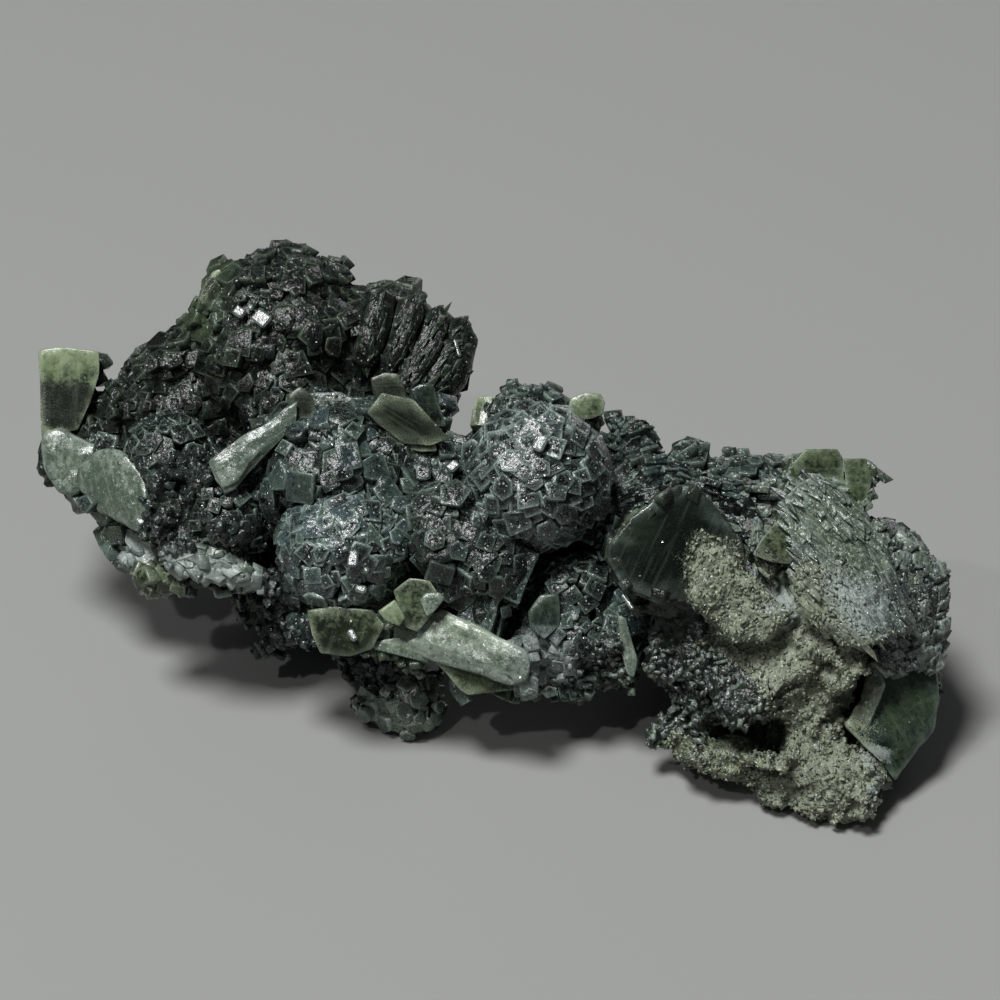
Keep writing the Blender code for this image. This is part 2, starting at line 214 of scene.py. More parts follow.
def prehnite(
    name, deep, body, other_body, edge, roughness=0.3, cells=0.5, tilt=0.3, crumb_tilt=0.14, grit=0.35,
    sparks=0.02, streak=0.0, clear=0.0, tint=0.45, cloud=0.3, specks=0.3, shine=0.5, edges=1.0,
):
    """Prehnite as it grew: dark glassy depth, pale thin edges, frost and crust where they lie."""
    material = new_material(name)
    node = partial(add_node, material.node_tree)
    grow = node("Attribute", attribute_name="grow").outputs["Vector"]
    rim, tone, olive, frost, green = (
        node("Attribute", attribute_name=each).outputs["Fac"]
        for each in ("rim", "tone", "olive", "frost", "green")
    )
    plate, other_plate, crumb, spark = (
        node("TexVoronoi", inputs={"Vector": grow, "Scale": 1 / cell}, **settings)
        for cell, settings in (
            (PLATE_CELL, dict(distance="CHEBYCHEV")), (PLATE_CELL, dict(distance="CHEBYCHEV", feature="F2")),
            (CRUMB_CELL, {}), (SPARK_CELL, {}),
        )
    )
    plate_way, crumb_way, spark_way = (
        node("SeparateColor", cell.outputs["Color"]).outputs[channel]
        for cell, channel in ((plate, "Red"), (crumb, "Green"), (spark, "Blue"))
    )
    clouds, fine, hue = (
        node("TexNoise", inputs={"Vector": grow, "Scale": 1 / size, "Detail": detail, "Roughness": rough})
        for size, detail, rough in ((CLOUD_SIZE, 4.0, 0.65), (GRIT_SIZE, 2.0, 0.6), (HUE_SIZE, 2.0, 0.5))
    )
    # Streaks run along the crystal's length, as the fibres of a bundle do.
    lengthways = node("VectorMath", grow, FIBRE_STRETCH, operation="MULTIPLY")
    fibres = node("TexNoise", inputs={"Vector": lengthways, "Scale": 1.0, "Detail": 3.0, "Roughness": 0.6})

    # The body colour: the crystal's own tone, each cell's, and slow clouds.
    cloudy = node("MapRange", clouds, 0.36, 0.64, -cloud, cloud)
    plate_shade = node("MapRange", plate_way, 0.0, 1.0, -0.7 * cells, 0.7 * cells)
    crumb_shade = node("MapRange", crumb_way, 0.0, 1.0, -0.7 * cloud, 0.7 * cloud)
    cell_shade = node("Math", plate_shade, crumb_shade, operation="ADD")
    shade = node("Math", node("Math", tone, cloudy, operation="ADD"), cell_shade, operation="ADD")
    streaky = node("MapRange", fibres, 0.35, 0.65, -1.2 * streak, 1.2 * streak)
    shade = node("Math", shade, streaky, operation="ADD")
    out_of_depth = node("Math", shade, 0.0, operation="ADD", use_clamp=True)
    hued = node("Mix", node("MapRange", hue, 0.4, 0.6), linear(body), linear(other_body), data_type="RGBA")
    base = node("Mix", out_of_depth, linear(deep), hued, data_type="RGBA")
    fresh = node("Math", green, tint, operation="MULTIPLY")
    base = node("Mix", fresh, base, FRESH_GREEN, data_type="RGBA")
    streaks = node("MapRange", fibres, 0.55, 0.64, 0.0, streak)
    base = node("Mix", streaks, base, linear(edge), data_type="RGBA")

    # Thin edges: the outline of the tablet, and the joints between its smaller squares.
    gap = node("Math", other_plate.outputs["Distance"], plate.outputs["Distance"], operation="SUBTRACT")
    crack = node("MapRange", gap, 0.0, 0.045, cells, 0.0)
    joint = node("MapRange", gap, 0.03, 0.14, cells, 0.0)
    joint = node("Math", joint, node("MapRange", clouds, 0.42, 0.6, 0.1, 0.75), operation="MULTIPLY")
    soft = node("Math", clouds, 0.3 * edges, operation="MULTIPLY")
    soft = node("Math", 0.12 * edges, soft, operation="ADD")
    soft = node("Math", rim, soft, operation="MULTIPLY")
    thin = node("Math", soft, node("MapRange", rim, 0.8, 1.0, 0.0, 0.28), operation="ADD")
    worn = node("MapRange", fine, 0.3, 0.6, 0.25, 1.0)
    broken = node("Math", worn, node("MapRange", hue, 0.36, 0.6, 0.3, 1.2), operation="MULTIPLY")
    pale = node("Math", thin, joint, operation="MAXIMUM")
    pale = node("Math", pale, broken, operation="MULTIPLY")
    pale = node("Math", pale, node("MapRange", fine, 0.56, 0.7, 0.0, specks), operation="MAXIMUM")
    colour = node("Mix", pale, base, linear(edge), data_type="RGBA")

    # Crust and frost, ragged where they end.
    ragged = node("MapRange", fine, 0.25, 0.75, -0.35, 0.35)
    crusty = node("MapRange", node("Math", olive, ragged, operation="ADD"), 0.35, 0.6)
    crust_tone = node("MapRange", shade, -0.8, 1.0, 0.2, 0.9)
    crust = node("Mix", crust_tone, CRUST_LOW, CRUST_HIGH, data_type="RGBA")
    colour = node("Mix", crusty, colour, crust, data_type="RGBA")
    patchy = node("Math", node("Math", cloudy, ragged, operation="ADD"), 1.5, operation="MULTIPLY")
    patchy = node("Math", patchy, 1.2, operation="ADD")
    dusty = node("Math", frost, patchy, operation="MULTIPLY")
    dusty = node("MapRange", dusty, 0.35, 1.1, 0.0, 0.75)
    colour = node("Mix", dusty, colour, FROST_GREY, data_type="RGBA")
    dark_crack = node("Math", crack, 0.8, operation="MULTIPLY")
    colour = node("Mix", dark_crack, colour, CRACK_BLACK, data_type="RGBA")

    # Sparks: a few tiny faces that are clean, glossy and turned more than the rest, with a painted highlight:
    # their base colour is mixed toward white.
    clean = node("Math", spark_way, 1.0 - sparks, operation="GREATER_THAN")
    bright = node("Math", clean, 0.6, operation="MULTIPLY")
    colour = node("Mix", bright, colour, SPARK_HIGHLIGHT_WHITE, data_type="RGBA")
    gloss = node("MapRange", fine, 0.3, 0.7, roughness * 0.7, roughness * 1.4)
    covered = node("Math", crusty, dusty, operation="MAXIMUM")
    covered = node("Math", covered, 0.3, operation="MULTIPLY")
    gloss = node("Math", gloss, covered, operation="ADD")
    gloss = node("Math", gloss, node("MapRange", clean, 0.0, 1.0, 1.0, 0.35), operation="MULTIPLY")

    # Each cell's random colour turns it its own way, and layers, grit and crumbs roughen it.
    normal = node("NewGeometry").outputs["Normal"]
    spark_tilt = node("Math", clean, 0.8, operation="MULTIPLY")
    for cell, amount in ((plate, tilt), (crumb, crumb_tilt), (spark, spark_tilt)):
        way = node("VectorMath", cell.outputs["Color"], (0.5, 0.5, 0.5), operation="SUBTRACT")
        push = node("VectorMath", way, amount, operation="SCALE")
        normal = node("VectorMath", normal, push, operation="ADD")
    normal = node("VectorMath", normal, operation="NORMALIZE")
    layers = node("SeparateXYZ", grow).outputs["Z"]
    layers = node("Math", layers, 2 * math.pi / LAYER_SPACING, operation="MULTIPLY")
    layers = node("Math", node("Math", layers, operation="SINE"), 0.12, operation="MULTIPLY")
    ribs = node("Math", fibres, streak * 2, operation="MULTIPLY")
    height = node("Math", node("Math", layers, fine, operation="ADD"), ribs, operation="ADD")
    dents = node("Math", crumb.outputs["Distance"], 3.5 * crumb_tilt, operation="MULTIPLY")
    height = node("Math", height, dents, operation="SUBTRACT")
    bumped = node(
        "Bump", inputs={"Height": height, "Strength": grit, "Distance": BUMP_HEIGHT * MM, "Normal": normal}
    )
    surface = node(
        "BsdfPrincipled",
        inputs={
            "Base Color": colour, "Roughness": gloss, "Metallic": 0.0, "IOR": PREHNITE_IOR,
            "Normal": bumped, "Transmission Weight": clear, "Specular IOR Level": shine,
        },
    )
    node("OutputMaterial", surface)
    return material


print("smallest pattern", min(SPARK_CELL, GRIT_SIZE), "mm, largest", HUE_SIZE, "mm")

# %% [markdown]
# ## Nine finishes
#
# Each kind of crystal is the same mineral with its own four colours: the dark of its depth,
# two shades of its body, and the pale of its thin edges. What follows them says how clean or
# broken it is. Old frosted faces have many cells, crumbs and specks; a fresh glassy face has
# almost none; the crust is a sugar of tiny grains.

# %% Nine finishes
# Tiled growth faces: nearly black depth with paler, slightly dull tiles.
DARK = prehnite(
    "prehnite, dark glassy tablets", "#070c0c", "#2a383b", "#384941", "#889a90", roughness=0.27, cells=0.4,
    tilt=0.22, crumb_tilt=0.26, specks=0.4, shine=0.36, edges=1.3,
)
# The rosettes: the same tablets, more frosted, with pale rims that draw each square.
ROSE = prehnite(
    "prehnite, frosted square tablets", "#0b1112", "#35454a", "#43564d", "#93a49d", roughness=0.23,
    cells=0.45, tilt=0.28, crumb_tilt=0.22, sparks=0.03, cloud=0.5, specks=0.45, shine=0.46, edges=2.6,
)
# Clean dark glass with few specks, for the body and the shaded masses: its darker colours are partly painted
# shade.
DEEP = prehnite(
    "prehnite, dark glassy crystals", "#060a09", "#1b2526", "#273126", "#6d7b6b", cells=0.4, tilt=0.2,
    crumb_tilt=0.3, sparks=0.006, specks=0.2, shine=0.25,
)
# Broken fibrous surfaces: grey, streaky and matt with many tiny faces.
GREY = prehnite(
    "prehnite, frosted grey blades", "#1f2825", "#717e78", "#6a775f", "#a8b4ae", roughness=0.32,
    crumb_tilt=0.42, sparks=0.04, streak=0.3, specks=0.6,
)
# Free tablets, thin enough to let light through: a smooth yellow-green gloss.
PALE = prehnite(
    "prehnite, pale green tablets", "#141d12", "#90a07e", "#7e8f69", "#a9b79d", roughness=0.26, cells=0.05,
    tilt=0.04, crumb_tilt=0.05, grit=0.18, sparks=0.002, streak=0.06, clear=0.15, tint=0.1, cloud=0.25,
    specks=0.04, shine=0.4, edges=2.2,
)
# Fine bundled fibres scatter the light, so they look milky mint.
WHITE = prehnite(
    "prehnite, mint white bundle", "#4d5d4e", "#a3b1a3", "#94a48c", "#c9d4cc", roughness=0.25, cells=0.1,
    tilt=0.1, crumb_tilt=0.12, sparks=0.015, streak=0.12, clear=0.2, tint=0.1,
)
# A fresh break: dark bottle green, smooth, and clear at its pale rim.
GLASSY = prehnite(
    "prehnite, broken glassy fan", "#0b120e", "#34413a", "#3f4c38", "#76857a", roughness=0.2, cells=0.0,
    tilt=0.0, crumb_tilt=0.05, grit=0.2, sparks=0.001, streak=0.08, tint=0.1, specks=0.1, shine=0.35,
    edges=2.2,
)
# Epidote in grains like sugar: olive, dry, with a glitter of single faces.
CRUST = prehnite(
    "epidote crust, sugary grains", "#2f372c", "#868f78", "#7a8466", "#b0b99d", roughness=0.34, cells=0.2,
    crumb_tilt=0.45, grit=0.6, sparks=0.06, cloud=0.55, specks=0.5,
)
# Cleavage faces as smooth as a mirror, for the glints.
CLEAN = prehnite(
    "prehnite, clean cleavage faces", "#101816", "#39464b", "#4a5a4f", "#98a29c", roughness=0.18, cells=0.0,
    tilt=0.0, crumb_tilt=0.16, sparks=0.0, tint=0.1,
)
# Each finish by name: its material, and the slot of the part that it dresses.
FINISHES = {
    "dark": (DARK, "dark_prehnite"), "rose": (ROSE, "dark_prehnite"), "deep": (DEEP, "dark_prehnite"),
    "grey": (GREY, "dark_prehnite"), "dusted": (GREY, "white_prehnite"), "pale": (PALE, "pale_prehnite"),
    "white": (WHITE, "white_prehnite"), "glassy": (GLASSY, "dark_prehnite"),
    "crust": (CRUST, "epidote_crust"), "clean": (CLEAN, "dark_prehnite"),
}
print("materials", sorted({material.name for material, _ in FINISHES.values()}))

# %% [markdown]
# ## Zones
#
# The cluster isn't one colour. Olive crust grew over the broken end, white frosting dusts
# some faces, and a few places are a fresher green. Each zone is a few soft balls in layout
# millimetres; how deep a point lies in them becomes a number on the mesh, and the
# materials mix by it, so a colour can run across crystals with no hard border.

# %% Zones
# zone: the centre and radius of each of its balls
ZONES = {
    "olive": [
        ((21.8, -15.1, 30.4), 2), ((22.6, -16.6, 28.4), 3.2), ((25.5, -15.5, 25), 4.2),
        ((28.8, -17.1, 20.5), 4.2), ((34.4, -15.7, 22.9), 4.6), ((37.5, -18.8, 18), 4),
        ((33.2, -18.8, 16.2), 4.6), ((36, -19.4, 12.5), 5.2), ((34.5, -21.6, 8.6), 4.8),
        ((37.1, -24.7, 7), 5.4), ((32.9, -25, 4), 4.4), ((37.6, -27.5, 3.1), 5.2),
    ],
    "frost": [
        ((35.8, -14, 24.3), 2.6), ((39, -16, 22.8), 3.4), ((41.6, -14.6, 19.4), 2.2), ((46.5, -8.5, 20), 2.2),
        ((48, -8, 13.5), 1.8), ((41.6, -22.4, 7.5), 2.2), ((42.4, -26.4, 5.1), 2.4), ((30.5, -14.5, 22), 2.6),
        ((-36, -5.7, 20.5), 2.6), ((-31.7, -5.9, 19.6), 3), ((-27, -6.1, 18.1), 2.4), ((-41, 4.6, 15.4), 2.6),
        ((-21, -2.6, 29.6), 1.6), ((-1, -7.8, 21), 1.8), ((4, -13.4, 12.8), 4.2),
    ],
    "green": [
        ((-38, -1, 16), 3.6), ((-42.5, 9, 17), 4), ((-33, 21.5, 38.6), 4), ((-12.5, -12, 14.5), 5),
        ((35.5, 0.5, 28), 5.5), ((39, 0.4, 27), 4), ((1, -13, 9.5), 4), ((13.5, -16, 9), 3),
        ((33.5, -9.5, 29.5), 3.6), ((38.5, -8, 30), 4.4), ((37, -11, 27.5), 4), ((20, -9, 31.4), 2.6),
        ((14.5, -12, 30), 2.6),
    ],
}
RAGGED_SIZE = 2.6
RAGGED_BY = 0.22
WOBBLE_WAVES = 6


def wobble(points, size, seed=3):
    """A smooth random value from about -1 to 1 for each point, with features of this size."""
    rng = np.random.default_rng(seed)
    total = np.zeros(len(points))
    for step in range(WOBBLE_WAVES):
        way = unit(rng.normal(0, 1, 3)) * 2 * math.pi / size * (0.6 + 0.35 * step)
        total += np.sin(points @ way + rng.uniform(0, 6.3))
    return total * 2 / WOBBLE_WAVES


def zone_depth(points, balls):
    depth = np.zeros(len(points))
    for centre, radius in balls:
        depth = np.maximum(depth, np.clip(1.5 - distances(points, centre) / radius, 0, 1))
    return depth


def write_attribute(mesh, name, values):
    kind, field = ("FLOAT_VECTOR", "vector") if np.ndim(values) == 2 else ("FLOAT", "value")
    layer = mesh.attributes.new(name, kind, "POINT")
    layer.data.foreach_set(field, np.ascontiguousarray(values, np.float32).reshape(-1))


def write_looks(mesh, points, **looks):
    """Writes the numbers that the materials read, and each zone, at these layout points."""
    for name, values in looks.items():
        write_attribute(mesh, name, values)
    ragged = RAGGED_BY * wobble(points, RAGGED_SIZE)
    for name, balls in ZONES.items():
        depth = zone_depth(points, balls)
        write_attribute(mesh, name, np.clip(depth + ragged * (depth > 0.02), 0, 1))


print("zones", {name: len(balls) for name, balls in ZONES.items()})

# %% [markdown]
# ## The large crystals and the rosettes
#
# These are placed one by one, because they are what one remembers of this specimen. The small
# crystals that cover the rest keep clear of them. A rosette is a ball of overlapping plates,
# and a bud is a smaller, flatter one that hardly rises out of the mass.
#
# A few clean faces are turned so that they send the window's light to the eye. On any real
# cluster some faces happen to lie just so, and those glints tell that it is crystal.

# %% Rosettes and single crystals
# centre, radius, the way its middle looks, spread in degrees, plates, widths, lean
ROSES = {
    "left_rose": ((-17.2, -4.4, 22.6), 7.2, (0.05, 0.15, 1), 104, 230, (1.4, 2.5), 11),
    "centre_rose": ((4.2, -0.2, 29), 7.8, (-0.05, 0.25, 1), 108, 190, (1.9, 3), 18),
    "bud_below": ((-1.4, -7.2, 22.6), 4, (0.1, 0.2, 1), 110, 60, (1.5, 2.3), 16),
    "bud_middle": ((-7, -3.4, 24.8), 4.6, (-0.5, 1, 0.5), 115, 60, (2, 3.2), 18),
    "bud_summit": ((2.6, 5.8, 32.6), 3.4, (-0.1, 0.9, 0.6), 110, 60, (1, 1.6), 10),
    "bud_low": ((8.4, -4.8, 16.8), 4.4, (0, 1, 0.3), 120, 60, (1.6, 2.6), 16),
    "bud_crown": ((-14, 3.6, 28.6), 5.2, (-0.1, 0.6, 1), 95, 80, (1.4, 2.3), 8),
    "bud_crown_left": ((-21, 1.6, 28.4), 5, (-0.3, 0.6, 1), 95, 76, (1.4, 2.2), 8),
    "bud_left": ((-31, 0.5, 23.6), 5, (-0.2, 0.4, 1), 100, 80, (1.1, 2.1), 12),
    "bud_shoulder": ((-37.5, 10, 25), 4.8, (-0.3, 0.6, 0.9), 100, 70, (1.3, 2.2), 10),
    "bud_rear": ((-24.5, 15, 30), 5.6, (0, 0.4, 1), 100, 90, (1.4, 2.4), 10),
    "bud_rear_top": ((-28.5, 20, 36.4), 4.6, (-0.3, 1, 0.5), 110, 80, (1.1, 1.9), 10),
}
# centre, full size, the way the face looks, the long axis, far end, plates, finish
ALONE = {
    "pale_fan_tip": ((-41, 5.6, 15.4), (6, 2.8, 2.8), (-0.2, 0.3, 1), (-0.6, 1, 0), 1.2, 1, "white"),
    "summit_tooth": ((-1.6, 9, 31), (4, 3, 2.6), (0, 0.5, 1), (0.1, 1, 0), 0.8, 1, "pale"),
    "dark_book_a": ((-1.8, -9.4, 17.6), (7.2, 5, 3.4), (-0.4, 0.1, 0.9), (0.35, 1, 0), 0.9, 4, "dark"),
    "dark_book_b": ((1, -8, 21.5), (6.6, 5, 3.2), (0.1, 0.1, 1), (0.5, 1, 0), 0.9, 4, "dark"),
    "dark_book_c": ((-8.5, -4.5, 26), (7, 5, 3.4), (0.2, 0.2, 1), (0.8, 1, 0), 0.85, 4, "dark"),
}
# The window, from the middle of the piece: its direction as best_side has it, and its distance.
WINDOW_WAY, WINDOW_DISTANCE = (-0.3, 0.8, 0.85), 1400
# Clean faces that catch the window's light: centre and size.
GLINTS = [
    ((-16, -11.6, 26), (2.2, 1.4, 1.2)), ((-15.2, -12, 22.2), (1.1, 1.5, 1.2)),
    ((4.4, -4.6, 36.4), (2.1, 1.5, 1.4)), ((-29.3, 15.6, 40.6), (1.4, 1.6, 1.2)),
    ((-26.8, 14.9, 40.2), (1.8, 2.2, 1.2)), ((-5.2, 0.2, 30.1), (1.6, 1.3, 1.2)),
    ((-9.9, -4.5, 27.8), (1, 1, 0.8)), ((13.8, -17.2, 24.4), (0.7, 2.4, 0.8)),
    ((-40.4, 3.4, 20.6), (1.6, 1.3, 0.8)), ((-16.2, -13.4, 17), (1, 1.7, 0.8)),
    ((-28.1, 15.9, 41.1), (0.8, 1, 0.8)), ((-25.8, 15.1, 39.6), (0.9, 0.7, 0.8)),
    ((-27.4, 14.7, 38.6), (0.7, 1.2, 0.8)), ((-16.9, -11.6, 27.4), (1, 0.8, 0.8)),
    ((-14.6, -11.7, 24.6), (0.8, 0.9, 0.8)), ((-12.6, -10.9, 26.8), (0.7, 0.7, 0.8)),
    ((3, -5.2, 35.2), (0.9, 0.8, 0.8)), ((-4.9, 16.6, 35.2), (0.7, 2.6, 0.8)),
]
print("rosettes and buds", len(ROSES), "single crystals", len(ALONE) + len(GLINTS))
